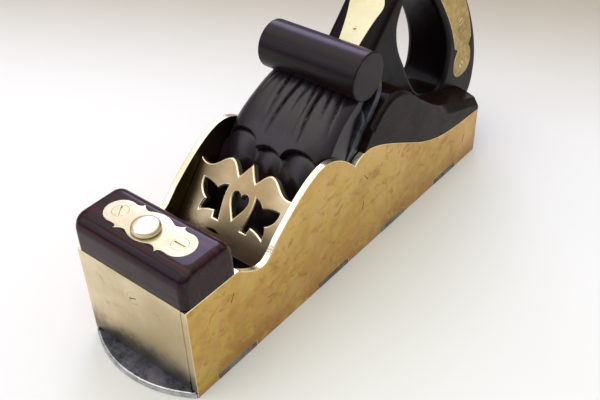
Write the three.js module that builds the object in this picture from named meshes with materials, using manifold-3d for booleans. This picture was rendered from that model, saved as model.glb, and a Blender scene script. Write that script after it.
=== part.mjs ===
// A dovetailed infill smoothing plane: brass sides and front plate on a steel sole, stuffed with
// rosewood, with a pierced brass bridge, a wedge with a rolled top and a closed handle.
// Millimetres. +Z is up from the sole, +Y runs from the toe to the heel, +X is the right-hand side.
// While it is being built, y = 0 is the outer face of the front plate.
import * as THREE from "three";
import { mergeVertices } from "three/addons/utils/BufferGeometryUtils.js";
import Module from "manifold-3d";

const wasm = await Module();
wasm.setup();

// ---- driving dimensions ----
const GAP = 0.3; // running clearance, and the clearance around every let-in piece
const BODY_WIDTH = 64;
const BODY_LENGTH = 227; // of the brass sides
const SIDE_THICKNESS = 3.2;
const SOLE_THICKNESS = 3;
const BOW = 10; // how far the toe and the heel swell past the sides
const FRONT_HEIGHT = 50.2;
const TAIL_HEIGHT = 27.1;
const BUN_LENGTH = 30.4; // front infill
const BUN_TOP = 68;
const BED_ANGLE = 50;
const BED_FOOT = 68.2; // where the bed meets the underside of the sole
const MOUTH_FRONT = 61.2;
const IRON_WIDTH = 57;
const IRON_THICKNESS = 3.6;
const CAP_IRON_THICKNESS = 2.7;
const BRIDGE_THICKNESS = 3.8;
const ROLL_RADIUS = 11.7;
const ROLL_LENGTH = 55.4;
const TOTE_THICKNESS = 27;
const INLAY_THICKNESS = 1.4;
const PROUD = 0.1; // how far an inlay stands above its wood

// ---- values that follow from them ----
const HALF = BODY_WIDTH / 2;
const INNER = HALF - SIDE_THICKNESS; // inner face of a side
const STUFFING = INNER - GAP; // half width of what fills the space between the sides
const BOW_RADIUS = (HALF * HALF + BOW * BOW) / (2 * BOW);
const QUARTER = Math.PI / 2;
const BOW_ANGLE = Math.asin(HALF / BOW_RADIUS);
const TOE_CENTRE = BOW_RADIUS - BOW;
const HEEL_CENTRE = BODY_LENGTH + BOW - BOW_RADIUS;
const BED = THREE.MathUtils.degToRad(BED_ANGLE);
const IRON_FACE = GAP + IRON_THICKNESS;
const CAP_BACK = IRON_FACE + GAP;
const CAP_FACE = CAP_BACK + CAP_IRON_THICKNESS;
const WEDGE_BACK = CAP_FACE + GAP;
const BRIDGE_FACE = 33.4; // distance of the bridge's outer face from the bed
const BRIDGE_BACK = BRIDGE_FACE - BRIDGE_THICKNESS;
const ROLL_CENTRE = { s: 108.8, n: IRON_FACE + GAP + ROLL_RADIUS };
const HALF_TOTE = TOTE_THICKNESS / 2;
const TOTE_FOOT = 25.3; // height of the underside of the tote's foot, let into the infill
const TOTE_TOP = 134;
const TOTE_BACK = 254.5;

// ---- finishes ----
const finish = (color, roughness, metalness) =>
  new THREE.MeshStandardMaterial({ color, roughness, metalness });
const BRASS = finish(0xc9a253, 0.32, 1);
const PALE_BRASS = finish(0xe6d9a4, 0.25, 1);
const STEEL = finish(0x59606b, 0.42, 1);
const BRIGHT_STEEL = finish(0x8c9198, 0.35, 1);
const ROSEWOOD = finish(0x2a1518, 0.22, 0);

// ---- frames ----
// Each maps a drawing plane, and the direction it is extruded in, to the plane's axes.
const basis = (u, v, w, origin = [0, 0, 0]) =>
  new THREE.Matrix4()
    .makeBasis(new THREE.Vector3(...u), new THREE.Vector3(...v), new THREE.Vector3(...w))
    .setPosition(...origin);
const ALONG = [0, Math.cos(BED), Math.sin(BED)]; // s, up the bed
const OFF = [0, -Math.sin(BED), Math.cos(BED)]; // n, square to the bed and away from it
const PLAN = basis([1, 0, 0], [0, 1, 0], [0, 0, 1]); // draws (x, y), extrudes up z
const PROFILE = basis([0, 1, 0], [0, 0, 1], [1, 0, 0]); // draws (y, z), extrudes along x
const BED_PLAN = basis([1, 0, 0], ALONG, OFF, [0, BED_FOOT, 0]); // draws (x, s), extrudes along n
const BED_PROFILE = basis(ALONG, OFF, [1, 0, 0], [0, BED_FOOT, 0]); // draws (s, n), extrudes along x

// ---- solids ----
const MITRE_LIMIT = 0.5; // keeps the corners of a grown outline short
const vectors = (points) => points.map(([a, b]) => new THREE.Vector2(a, b));
const polygon = (points) => new THREE.Shape(vectors(points));

function solid(geometry, matrix = new THREE.Matrix4()) {
  const bare = geometry.clone().applyMatrix4(matrix);
  bare.deleteAttribute("normal");
  bare.deleteAttribute("uv");
  const merged = mergeVertices(bare, 1e-4);
  const vertProperties = merged.attributes.position.array;
  const index = merged.index.array;
  const triangles = [];
  for (let i = 0; i < index.length; i += 3) {
    const [a, b, c] = index.subarray(i, i + 3);
    if (a !== b && b !== c && c !== a) triangles.push(a, b, c);
  }
  const triVerts = new Uint32Array(triangles);
  return new wasm.Manifold(new wasm.Mesh({ numProp: 3, vertProperties, triVerts }));
}

// A shape drawn in one of the frames and extruded from one depth to another.
function extruded(shape, frame, from, to, curveSegments = 8) {
  const options = { depth: to - from, bevelEnabled: false, curveSegments };
  const geometry = new THREE.ExtrudeGeometry(shape, options);
  return solid(geometry.translate(0, 0, from), frame);
}

// The axis of three.js's own cylinders and lathes.
const UP = new THREE.Vector3(0, 1, 0);

function cylinder(radius, from, to, sides = 20) {
  const axis = new THREE.Vector3().subVectors(to, from);
  const turn = new THREE.Quaternion().setFromUnitVectors(UP, axis.clone().normalize());
  const middle = new THREE.Vector3().addVectors(from, to).multiplyScalar(0.5);
  const place = new THREE.Matrix4().compose(middle, turn, new THREE.Vector3(1, 1, 1));
  return solid(new THREE.CylinderGeometry(radius, radius, axis.length(), sides), place);
}

// The points of a closed outline, moved outwards by a clearance.
function grown(shape, clearance, divisions = 4) {
  const points = shape.getPoints(divisions);
  if (points[0].distanceTo(points.at(-1)) < 1e-6) points.pop();
  if (THREE.ShapeUtils.isClockWise(points)) points.reverse();
  const edgeNormal = (a, b) => new THREE.Vector2(b.y - a.y, a.x - b.x).normalize();
  const moved = points.map((point, i) => {
    const before = edgeNormal(points.at(i - 1), point);
    const after = edgeNormal(point, points[(i + 1) % points.length]);
    const bisector = before.clone().add(after).normalize();
    const stretch = Math.max(bisector.dot(after), MITRE_LIMIT);
    return point.clone().addScaledVector(bisector, clearance / stretch);
  });
  return new THREE.Shape(moved);
}

const subtractAll = (body, tools) => tools.reduce((left, tool) => left.subtract(tool), body);

// A point of the bed's own frame, in the plane's frame.
const bedPoint = (x, s, n) => new THREE.Vector3(x, s, n).applyMatrix4(BED_PLAN);

// ---- screws ----
// Countersunk screws with their heads filed flush. A screw's own axis points out of its head.
const SIDE_SCREW = { head: 3.1, countersink: 2.4, shank: 1.9, length: 15 };
const BUN_SCREW = { head: 3.6, countersink: 2.2, shank: 1.7, length: 18 };
const TOTE_SCREW = { head: 2.4, countersink: 1.6, shank: 1.1, length: 8 };
const NAIL = { head: 1.4, countersink: 1, shank: 0.8, length: 9 };

const HEAD_RIM = 0.2;
const SCREW_SLOT = { depth: 0.6, width: 0.7 };

function screwLathe({ head, countersink, shank, length }, clearance = 0) {
  const profile = [
    [0, -length - clearance],
    [shank + clearance, -length + shank],
    [shank + clearance, -countersink - clearance],
    [head + clearance, -HEAD_RIM],
    [head + clearance, clearance],
    [0, clearance],
  ];
  return new THREE.LatheGeometry(vectors(profile), 16);
}

function screwPlace(at, out) {
  const turn = new THREE.Quaternion().setFromUnitVectors(UP, new THREE.Vector3(...out));
  return new THREE.Matrix4().compose(new THREE.Vector3(...at), turn, new THREE.Vector3(1, 1, 1));
}

function screwSolid(spec, place, slotAngle) {
  const { depth, width } = SCREW_SLOT;
  const slot = new THREE.BoxGeometry(3 * spec.head, 2 * depth, width).rotateY(slotAngle);
  return solid(screwLathe(spec), place).subtract(solid(slot, place));
}

const screws = [];
// Adds a screw to the list. What it goes through is bored with its hole.
function screw(name, spec, at, out, slotAngle, material = BRASS) {
  const place = screwPlace(at, out);
  const made = {
    name,
    material,
    body: screwSolid(spec, place, slotAngle),
    hole: solid(screwLathe(spec, GAP), place),
  };
  screws.push(made);
  return made.hole;
}

const SIDE_SCREWS = [
  { name: "front", y: 25.6, z: 39, slot: 0.9 },
  { name: "upper", y: 119.3, z: 44.4, slot: 2.1 },
  { name: "lower", y: 117.4, z: 28.8, slot: 1.5 },
  { name: "rear", y: 212.9, z: 15.5, slot: 1.2 },
];
const sideScrewHoles = [];
for (const [side, sign] of [["right", 1], ["left", -1]])
  for (const { name, y, z, slot } of SIDE_SCREWS)
    sideScrewHoles.push(
      screw(`side_screw_${side}_${name}`, SIDE_SCREW, [sign * HALF, y, z], [sign, 0, 0], slot),
    );
const frontRivetHole = screw("front_plate_screw", SIDE_SCREW, [0, 0, 39.7], [0, -1, 0], 0.4);

// ---- sides ----
// The outline of a side, from the toe along the sole to the tail and back over its top edge.
function sideProfile(raise = 0, bottom = 0) {
  const shape = new THREE.Shape();
  const curve = (...v) => shape.bezierCurveTo(v[0], v[1] + raise, v[2], v[3] + raise, v[4], v[5] + raise);
  shape.moveTo(0, bottom);
  shape.lineTo(BODY_LENGTH, bottom);
  shape.lineTo(BODY_LENGTH, TAIL_HEIGHT + raise);
  curve(205, 29, 190, 27, 166.7, 38.2); // along the handle
  curve(156, 43.4, 130, 59.2, 121, 59.2);
  curve(117, 59.2, 113, 57.8, 110.7, 55.6); // cusp behind the wedge
  curve(104, 63, 97, 68.9, 88.5, 68.9); // crest beside the bridge
  curve(78, 68.9, 63.5, 57, 55.5, 50.3);
  curve(51, 45.7, 48.5, 42.3, 45.3, 42.3); // scoop
  curve(40, 42.3, 35.5, 46.5, BUN_LENGTH, FRONT_HEIGHT);
  shape.lineTo(0, FRONT_HEIGHT + raise);
  return shape;
}

// The sole's dovetail pins show along the lower edge of both sides, between these distances.
const PINS = [[13.3, 37.4], [82.7, 105.6], [134, 155], [184.5, 205.7]];
const PIN_FLARE = 0.8;

function pinShape([from, to], sign, clearance) {
  const inside = sign * (STUFFING - 1);
  const outside = sign * (HALF + (clearance ? 1 : 0));
  return polygon([
    [inside, from + PIN_FLARE - clearance],
    [outside, from - clearance],
    [outside, to + clearance],
    [inside, to - PIN_FLARE + clearance],
  ]);
}

// The bridge's tenons sit in blind holes in the sides.
const TENON = { s: 30, n: BRIDGE_BACK - 0.5, radius: 2.6, end: HALF - 1 };
function tenon(sign, clearance) {
  const inner = bedPoint(sign * (STUFFING - 1), TENON.s, TENON.n);
  const outer = bedPoint(sign * (TENON.end + clearance), TENON.s, TENON.n);
  return cylinder(TENON.radius + clearance, inner, outer, 16);
}

function sidePlate(sign) {
  const [from, to] = sign > 0 ? [INNER, HALF] : [-HALF, -INNER];
  const plate = extruded(sideProfile(), PROFILE, from, to, 6);
  const sockets = PINS.map((pin) =>
    extruded(pinShape(pin, sign, GAP), PLAN, -1, SOLE_THICKNESS + GAP),
  );
  return subtractAll(plate, [...sockets, ...sideScrewHoles, tenon(sign, GAP)]);
}

function frontPlate() {
  const shape = polygon([
    [-STUFFING, 0],
    [STUFFING, 0],
    [STUFFING, SIDE_THICKNESS],
    [-STUFFING, SIDE_THICKNESS],
  ]);
  return extruded(shape, PLAN, SOLE_THICKNESS + GAP, FRONT_HEIGHT).subtract(frontRivetHole);
}

// ---- sole ----
// The sole is in two pieces that meet at the mouth, each with a bowed end. It is as wide as the body
// past the sides and at the pins, and fits between the sides elsewhere.
function soleOutline() {
  const outline = new THREE.Shape();
  outline.moveTo(STUFFING, -GAP);
  outline.lineTo(STUFFING, BODY_LENGTH + GAP);
  outline.lineTo(HALF, BODY_LENGTH + GAP);
  outline.absarc(0, HEEL_CENTRE + GAP, BOW_RADIUS, QUARTER - BOW_ANGLE, QUARTER + BOW_ANGLE, false);
  outline.lineTo(-STUFFING, BODY_LENGTH + GAP);
  outline.lineTo(-STUFFING, -GAP);
  outline.lineTo(-HALF, -GAP);
  outline.absarc(0, TOE_CENTRE - GAP, BOW_RADIUS, -QUARTER - BOW_ANGLE, -QUARTER + BOW_ANGLE, false);
  return outline;
}

function sole(front) {
  const pins = PINS.flatMap((pin) => [1, -1].map((sign) => pinShape(pin, sign, 0)));
  const blank = pins.reduce(
    (body, pin) => body.add(extruded(pin, PLAN, 0, SOLE_THICKNESS)),
    extruded(soleOutline(), PLAN, 0, SOLE_THICKNESS, 12),
  );
  const slope = SOLE_THICKNESS / Math.tan(BED);
  const toe = -BOW - 1;
  const heel = BODY_LENGTH + BOW + 1;
  const half = front
    ? [[toe, -1], [MOUTH_FRONT, -1], [MOUTH_FRONT, SOLE_THICKNESS + 1], [toe, SOLE_THICKNESS + 1]]
    : [[BED_FOOT, 0], [heel, 0], [heel, SOLE_THICKNESS], [BED_FOOT + slope, SOLE_THICKNESS]];
  return blank.intersect(extruded(polygon(half), PROFILE, -HALF - 1, HALF + 1));
}

// ---- front infill ----
const INLAY_SCREW = { x: 17.2, y: 14.7 };
const BUTTON = { x: 0, y: 13, radius: 6.4, stem: 3, rise: 3.5 };

function bunProfile() {
  const shape = new THREE.Shape();
  shape.moveTo(0, FRONT_HEIGHT + GAP);
  shape.lineTo(BUN_LENGTH, FRONT_HEIGHT + GAP);
  shape.bezierCurveTo(29.4, 55, 29.8, 58, 29.2, 61);
  shape.bezierCurveTo(28.6, 65, 27, BUN_TOP, 23, BUN_TOP);
  shape.lineTo(8, BUN_TOP);
  shape.bezierCurveTo(3, BUN_TOP, 0.4, 66, 0, 61);
  return shape;
}

function roundedRectangle(x0, y0, x1, y1, r) {
  const shape = new THREE.Shape();
  shape.moveTo(x0 + r, y0);
  shape.lineTo(x1 - r, y0);
  shape.absarc(x1 - r, y0 + r, r, -QUARTER, 0, false);
  shape.absarc(x1 - r, y1 - r, r, 0, QUARTER, false);
  shape.absarc(x0 + r, y1 - r, r, QUARTER, Math.PI, false);
  shape.absarc(x0 + r, y0 + r, r, Math.PI, Math.PI * 1.5, false);
  return shape;
}

// The inlay on top of the front infill: two round lobes and a middle boss, with cusps between them.
function bunInlayShape() {
  const { x, y } = INLAY_SCREW;
  const lobe = 7.3;
  const boss = { half: 7.2, edge: 7, crown: 11.2 };
  const tip = { x: 12, y: 9.2 };
  const shape = new THREE.Shape();
  shape.moveTo(-boss.half, y - boss.edge);
  shape.quadraticCurveTo(0, y - boss.crown, boss.half, y - boss.edge);
  shape.quadraticCurveTo(9.5, y - 6.6, tip.x, y - tip.y);
  shape.quadraticCurveTo(11.5, y - 6.4, x, y - lobe);
  shape.absarc(x, y, lobe, -QUARTER, QUARTER, false);
  shape.quadraticCurveTo(11.5, y + 6.4, tip.x, y + tip.y);
  shape.quadraticCurveTo(9.5, y + 6.6, boss.half, y + boss.edge);
  shape.quadraticCurveTo(0, y + boss.crown, -boss.half, y + boss.edge);
  shape.quadraticCurveTo(-9.5, y + 6.6, -tip.x, y + tip.y);
  shape.quadraticCurveTo(-11.5, y + 6.4, -x, y + lobe);
  shape.absarc(-x, y, lobe, QUARTER, Math.PI * 1.5, false);
  shape.quadraticCurveTo(-11.5, y - 6.4, -tip.x, y - tip.y);
  shape.quadraticCurveTo(-9.5, y - 6.6, -boss.half, y - boss.edge);
  return shape;
}

const bunScrewHoles = [["right", 1, 0.3], ["left", -1, 2.2]].map(([side, sign, slot]) => {
  const at = [sign * INLAY_SCREW.x, INLAY_SCREW.y, BUN_TOP];
  return screw(`front_inlay_screw_${side}`, BUN_SCREW, at, [0, 0, 1], slot, PALE_BRASS);
});
const buttonPoint = (z) => new THREE.Vector3(BUTTON.x, BUTTON.y, z);
const STEM_DEPTH = 12;
const stemHole = cylinder(
  BUTTON.stem + GAP,
  buttonPoint(BUN_TOP - STEM_DEPTH - GAP),
  buttonPoint(BUN_TOP + 1),
);

function frontInfill() {
  const head = extruded(bunProfile(), PROFILE, -HALF, HALF, 6).intersect(
    extruded(roundedRectangle(-HALF, 0, HALF, BUN_LENGTH, 3.5), PLAN, FRONT_HEIGHT, BUN_TOP + 1, 5),
  );
  const foot = polygon([
    [SIDE_THICKNESS + GAP, SOLE_THICKNESS + GAP],
    [MOUTH_FRONT - 4, SOLE_THICKNESS + GAP],
    [46, 9],
    [36, 22],
    [BUN_LENGTH, 40],
    [BUN_LENGTH, FRONT_HEIGHT + 1],
    [SIDE_THICKNESS + GAP, FRONT_HEIGHT + 1],
  ]);
  const body = head.add(extruded(foot, PROFILE, -STUFFING, STUFFING));
  const inlay = grown(bunInlayShape(), GAP);
  const recess = extruded(inlay, PLAN, BUN_TOP - INLAY_THICKNESS - GAP, BUN_TOP + 1);
  return subtractAll(body, [recess, stemHole, frontRivetHole, ...bunScrewHoles, ...sideScrewHoles]);
}

function bunInlay() {
  const plate = extruded(bunInlayShape(), PLAN, BUN_TOP - INLAY_THICKNESS, BUN_TOP + PROUD, 4);
  return subtractAll(plate, [stemHole, ...bunScrewHoles]);
}

// The strike button takes the mallet blows that free the wedge.
function strikeButton() {
  const { radius, stem, rise } = BUTTON;
  const base = BUN_TOP + PROUD + GAP;
  const profile = new THREE.Path();
  profile.moveTo(0, BUN_TOP - STEM_DEPTH);
  profile.lineTo(stem, BUN_TOP - STEM_DEPTH);
  profile.lineTo(stem, base);
  profile.lineTo(radius - 0.6, base);
  profile.lineTo(radius, base + 0.7);
  profile.quadraticCurveTo(radius, BUN_TOP + rise - 0.6, radius * 0.6, BUN_TOP + rise - 0.2);
  profile.quadraticCurveTo(radius * 0.3, BUN_TOP + rise, 0, BUN_TOP + rise);
  const lathe = new THREE.LatheGeometry(profile.getPoints(4), 32);
  const upright = new THREE.Matrix4().makeRotationX(QUARTER);
  upright.setPosition(BUTTON.x, BUTTON.y, 0);
  return solid(lathe, upright);
}

// ---- bridge ----
// Draws a mirrored outline: the points of the right half, then of the left half in reverse.
const mirrored = (half) => [...half, ...half.toReversed().map(([x, s]) => [-x, s])];

function bridgeTop(shape) {
  shape.bezierCurveTo(24, 44.4, 20.5, 46, 17.5, 49);
  shape.bezierCurveTo(15.5, 51, 13.5, 52.6, 11.5, 52.4);
  shape.bezierCurveTo(8.5, 52, 7, 48.6, 4.9, 46.4);
  shape.bezierCurveTo(3.6, 47.6, 1.6, 51.4, 0, 53.9);
  shape.bezierCurveTo(-1.6, 51.4, -3.6, 47.6, -4.9, 46.4);
  shape.bezierCurveTo(-7, 48.6, -8.5, 52, -11.5, 52.4);
  shape.bezierCurveTo(-13.5, 52.6, -15.5, 51, -17.5, 49);
  shape.bezierCurveTo(-20.5, 46, -24, 44.4, -STUFFING, 47.2);
}

function heartHole() {
  const path = new THREE.Shape();
  path.moveTo(0.4, 27.2);
  path.bezierCurveTo(-1.8, 31, -4, 33.5, -4.2, 36.6);
  path.bezierCurveTo(-4.2, 40.4, -0.4, 40.2, 0.4, 37.2);
  path.bezierCurveTo(1.2, 40.2, 5, 40.4, 5, 36.6);
  path.bezierCurveTo(4.8, 33.5, 2.6, 31, 0.4, 27.2);
  return path;
}

// A three-petalled flower on a stem, leaning outwards.
function flowerHole(sign) {
  const path = new THREE.Shape();
  const p = (x, s) => [sign * x, s];
  path.moveTo(...p(7, 24));
  path.lineTo(...p(10, 24));
  path.lineTo(...p(10.6, 27.4));
  path.quadraticCurveTo(...p(14.5, 27.4), ...p(18.6, 25));
  path.quadraticCurveTo(...p(18.8, 28.6), ...p(17, 30.6));
  path.quadraticCurveTo(...p(22.4, 33), ...p(22.4, 38.8));
  path.quadraticCurveTo(...p(16.5, 38.8), ...p(13.2, 36.8));
  path.quadraticCurveTo(...p(11.6, 39.6), ...p(8.4, 40.2));
  path.quadraticCurveTo(...p(9.6, 34.6), ...p(7, 24));
  return path;
}

const TONGUE_SLOPE = 0.18;
const tongueFace = (s) => 24.5 + TONGUE_SLOPE * (s - 60); // front of the wedge's tongue

const BRIDGE_FOOT = 12;
const LUG = { low: 18, high: 44, inside: 24.6 }; // the wedge bears on a lug at each end of the bridge

function bridge() {
  const plate = new THREE.Shape();
  plate.moveTo(-STUFFING, BRIDGE_FOOT);
  plate.lineTo(STUFFING, BRIDGE_FOOT);
  plate.lineTo(STUFFING, 47.2);
  bridgeTop(plate);
  const piercings = [heartHole(), flowerHole(1), flowerHole(-1)].map((hole) =>
    extruded(hole, BED_PLAN, BRIDGE_BACK - 1, BRIDGE_FACE + 1, 5),
  );
  const body = subtractAll(extruded(plate, BED_PLAN, BRIDGE_BACK, BRIDGE_FACE, 5), piercings);
  const lug = polygon([
    [LUG.low, BRIDGE_BACK + 1],
    [LUG.low, tongueFace(LUG.low) + GAP],
    [LUG.high, tongueFace(LUG.high) + GAP],
    [LUG.high, BRIDGE_BACK + 1],
  ]);
  return [-1, 1].reduce((made, sign) => {
    const [from, to] = sign > 0 ? [LUG.inside, STUFFING] : [-STUFFING, -LUG.inside];
    return made.add(extruded(lug, BED_PROFILE, from, to)).add(tenon(sign, 0));
  }, body);
}

// ---- cutting iron, cap iron and their screw ----
const CAP_SCREW = { s: 38, shank: 4, head: 9, thickness: 3.6 };
const IRON_TOP = 122;
const CAP_TOP = 96.5;

function ironOutline() {
  const half = IRON_WIDTH / 2;
  const shape = new THREE.Shape();
  shape.moveTo(-half, -4);
  shape.lineTo(half, -4);
  shape.lineTo(half, 101);
  shape.bezierCurveTo(half, 114, 16, IRON_TOP, 0, IRON_TOP);
  shape.bezierCurveTo(-16, IRON_TOP, -half, 114, -half, 101);
  const slot = new THREE.Path();
  slot.moveTo(5.6, 30);
  slot.lineTo(5.6, 90);
  slot.absarc(0, 90, 5.6, 0, Math.PI, false);
  slot.lineTo(-5.6, 30);
  slot.absarc(0, 30, 5.6, Math.PI, 2 * Math.PI, false);
  shape.holes.push(slot);
  return shape;
}

function planeIron() {
  const edge = (0.3 - IRON_FACE * Math.cos(BED)) / Math.sin(BED); // clear of what the sole rests on
  const bevel = IRON_THICKNESS / Math.tan(THREE.MathUtils.degToRad(28));
  const section = polygon([
    [edge + bevel, GAP],
    [IRON_TOP + 1, GAP],
    [IRON_TOP + 1, IRON_FACE],
    [edge, IRON_FACE],
  ]);
  return extruded(ironOutline(), BED_PLAN, -1, IRON_FACE + 1, 6).intersect(
    extruded(section, BED_PROFILE, -HALF, HALF),
  );
}

function capIron() {
  const section = new THREE.Shape();
  section.moveTo(-1.2, CAP_BACK);
  section.lineTo(0.8, CAP_BACK);
  section.bezierCurveTo(4, CAP_BACK + 3.4, 9, CAP_BACK + 2.6, 16, CAP_BACK);
  section.lineTo(CAP_TOP, CAP_BACK);
  section.lineTo(CAP_TOP, CAP_FACE);
  section.lineTo(18, CAP_FACE);
  section.bezierCurveTo(11, CAP_FACE + 2.6, 3, CAP_FACE + 3, -1.2, CAP_BACK + 0.6);
  const half = IRON_WIDTH / 2;
  const body = extruded(section, BED_PROFILE, -half, half, 6);
  const corners = extruded(roundedRectangle(-half, -20, half, CAP_TOP, 8), BED_PLAN, 0, 30, 6);
  const { s, shank } = CAP_SCREW;
  const hole = cylinder(shank + GAP, bedPoint(0, s, 0), bedPoint(0, s, 20));
  return body.intersect(corners).subtract(hole);
}

function capIronScrew() {
  const { s, shank, head, thickness } = CAP_SCREW;
  const slot = new THREE.BoxGeometry(3 * head, 1.6, 2.4).translate(0, s, -thickness);
  return cylinder(head, bedPoint(0, s, -thickness), bedPoint(0, s, 0), 28)
    .add(cylinder(shank, bedPoint(0, s, -1), bedPoint(0, s, CAP_FACE - 0.2), 20))
    .subtract(solid(slot, BED_PLAN));
}

// ---- wedge ----
const WEDGE_HALF = 28.1;
// The flutes fan out from under the roll. Each ends at its own distance up the bed.
const FLUTES = [
  { top: -19.5, low: -21, end: 84 },
  { top: -11, low: -10.5, end: 80 },
  { top: -3.6, low: -5.2, end: 72 },
  { top: 3, low: 2.8, end: 79 },
  { top: 10.1, low: 11.4, end: 71 },
  { top: 16.5, low: 18, end: 79 },
  { top: 22, low: 24.4, end: 76 },
];

// The front of the wedge swells over the carved edge and dips under the roll.
function wedgeSection() {
  const shape = new THREE.Shape();
  shape.moveTo(22, WEDGE_BACK);
  shape.lineTo(102, WEDGE_BACK);
  shape.lineTo(104, ROLL_CENTRE.n);
  shape.lineTo(98, ROLL_CENTRE.n);
  shape.splineThru(vectors([[92, 20], [84, 24], [74, 26.6], [66, 27.2], [56, 26.6]]));
  shape.lineTo(56, tongueFace(56));
  shape.lineTo(24, tongueFace(24));
  shape.lineTo(22, tongueFace(22) - 2);
  return shape;
}

function wedgeOutline() {
  const foot = [[WEDGE_HALF - 1, 21], [WEDGE_HALF, 23], [WEDGE_HALF, 70]];
  const half = [...foot, [26.4, 84], [24.4, 97], [24.4, 110]];
  return polygon(mirrored(half));
}

// Everything in front of the tongue and below the carved edge, with its three round arches.
function carvedEdge() {
  const shape = new THREE.Shape();
  shape.moveTo(-HALF, 40);
  shape.lineTo(HALF, 40);
  shape.lineTo(HALF, 58);
  shape.lineTo(26, 60);
  shape.bezierCurveTo(24.5, 64, 20.5, 66.8, 16.4, 66.8);
  shape.bezierCurveTo(12, 66.8, 9, 64.4, 7.4, 60.2);
  shape.bezierCurveTo(4.4, 63.8, -4.4, 63.8, -7.4, 60.2);
  shape.bezierCurveTo(-9, 64.4, -12, 66.8, -16.4, 66.8);
  shape.bezierCurveTo(-20.5, 66.8, -24.5, 64, -26, 60);
  shape.lineTo(-HALF, 58);
  return shape;
}

function fluteTool({ top, low, end }) {
  const from = bedPoint(low, end, 30.4);
  const to = bedPoint(top, 95, 21.2);
  const axis = new THREE.Vector3().subVectors(to, from);
  const turn = new THREE.Quaternion().setFromUnitVectors(UP, axis.clone().normalize());
  const middle = new THREE.Vector3().addVectors(from, to).multiplyScalar(0.5);
  const place = new THREE.Matrix4().compose(middle, turn, new THREE.Vector3(1, 1, 1));
  return solid(new THREE.CylinderGeometry(2.2, 3.2, axis.length(), 10), place);
}

function wedge() {
  const block = extruded(wedgeSection(), BED_PROFILE, -HALF, HALF, 3).intersect(
    extruded(wedgeOutline(), BED_PLAN, 0, 40),
  );
  const tongue = polygon([[0, tongueFace(0)], [80, tongueFace(80)], [80, 60], [0, 60]]);
  const below = extruded(carvedEdge(), BED_PLAN, 10, 50, 5).intersect(
    extruded(tongue, BED_PROFILE, -HALF - 1, HALF + 1),
  );
  const { s, n } = ROLL_CENTRE;
  const roll = cylinder(ROLL_RADIUS, bedPoint(-ROLL_LENGTH / 2, s, n), bedPoint(ROLL_LENGTH / 2, s, n), 40);
  return subtractAll(block, [below, ...FLUTES.map(fluteTool)]).add(roll);
}

// ---- rear infill ----
function rearProfile() {
  const shape = new THREE.Shape();
  const onBed = (z) => [BED_FOOT + z / Math.tan(BED), z];
  shape.moveTo(...onBed(SOLE_THICKNESS + GAP));
  shape.lineTo(BODY_LENGTH + BOW, SOLE_THICKNESS + GAP);
  shape.lineTo(BODY_LENGTH + BOW, 31);
  shape.lineTo(BODY_LENGTH, 34);
  shape.bezierCurveTo(216, 38.4, 200, 42, 190.5, 47); // tail
  shape.bezierCurveTo(176, 55, 166, 64, 157, 72);
  shape.bezierCurveTo(149, 79, 140, 80, 133, 75); // shoulder behind the wedge
  shape.quadraticCurveTo(129.5, 72.6, ...onBed(67.5));
  return shape;
}

function rearPlan() {
  const shape = new THREE.Shape();
  shape.moveTo(-HALF, 50);
  shape.lineTo(HALF, 50);
  shape.absarc(0, HEEL_CENTRE, BOW_RADIUS, QUARTER - BOW_ANGLE, QUARTER + BOW_ANGLE, false);
  return shape;
}

// The cap-iron screw's head runs in this groove.
function screwGroove() {
  const shape = roundedRectangle(-CAP_SCREW.head - 1.5, 26, CAP_SCREW.head + 1.5, 97.5, 9);
  return extruded(shape, BED_PLAN, -5, 2, 4);
}

// ---- tote ----
const FOOT_BACK = -8; // the foot's front face lies this far behind the bed
const STEP = 88; // above this distance the tote comes forward to the bed

// The front of the tote leans back at 45 degrees: its drawing plane is (x, t), with t up the slope.
const LEAN = Math.SQRT1_2;
const FACE_ORIGIN = [0, 149.2, 93.1];
const TOTE_FRONT = basis([1, 0, 0], [0, LEAN, LEAN], [0, -LEAN, LEAN], FACE_ORIGIN);
const FACE_TOP = 33;
const facePoint = (t) => [FACE_ORIGIN[1] + LEAN * t, FACE_ORIGIN[2] + LEAN * t];

function toteOutline() {
  const bed = (s, n) => {
    const p = bedPoint(0, s, n);
    return [p.y, p.z];
  };
  const footStart = (TOTE_FOOT - FOOT_BACK * Math.cos(BED)) / Math.sin(BED);
  const faceStart = 101.5; // where the sloping front leaves the bed
  const shape = new THREE.Shape();
  shape.moveTo(...bed(footStart, FOOT_BACK));
  shape.lineTo(...bed(STEP, FOOT_BACK));
  shape.lineTo(...bed(STEP, -GAP));
  shape.lineTo(...bed(faceStart, -GAP));
  shape.lineTo(...facePoint(FACE_TOP));
  shape.bezierCurveTo(180, 124, 187, TOTE_TOP, 198, TOTE_TOP);
  shape.bezierCurveTo(211, TOTE_TOP, 219, 116, 228, 99);
  shape.bezierCurveTo(241, 84, 257, 54, TOTE_BACK, 34); // back of the grip
  shape.bezierCurveTo(254, 25, 251, 17.5, 243, 16.5);
  shape.quadraticCurveTo(239, 16, 236, 16.5);
  shape.lineTo(206, TOTE_FOOT);
  return shape;
}

function fingerHole() {
  const shape = new THREE.Shape();
  shape.moveTo(171.2, 94);
  shape.bezierCurveTo(171.2, 84, 175, 78, 180, 69);
  shape.bezierCurveTo(186, 58, 190, 49, 198, 45);
  shape.bezierCurveTo(205, 41.5, 210, 39.5, 214, 39.5); // floor
  shape.bezierCurveTo(219, 39.5, 221.5, 47, 221.5, 56);
  shape.bezierCurveTo(221.5, 70, 211, 86, 202.5, 97); // front of the grip
  shape.bezierCurveTo(196, 108, 196, 118, 189, 118);
  shape.bezierCurveTo(184, 118, 171.2, 102, 171.2, 94);
  return shape;
}

const TOTE_SIDE_SCREWS = [
  { name: "upper", y: 232.3, z: 72.9, slot: 2 },
  { name: "lower", y: 237, z: 44.9, slot: 0.7 },
];

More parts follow.
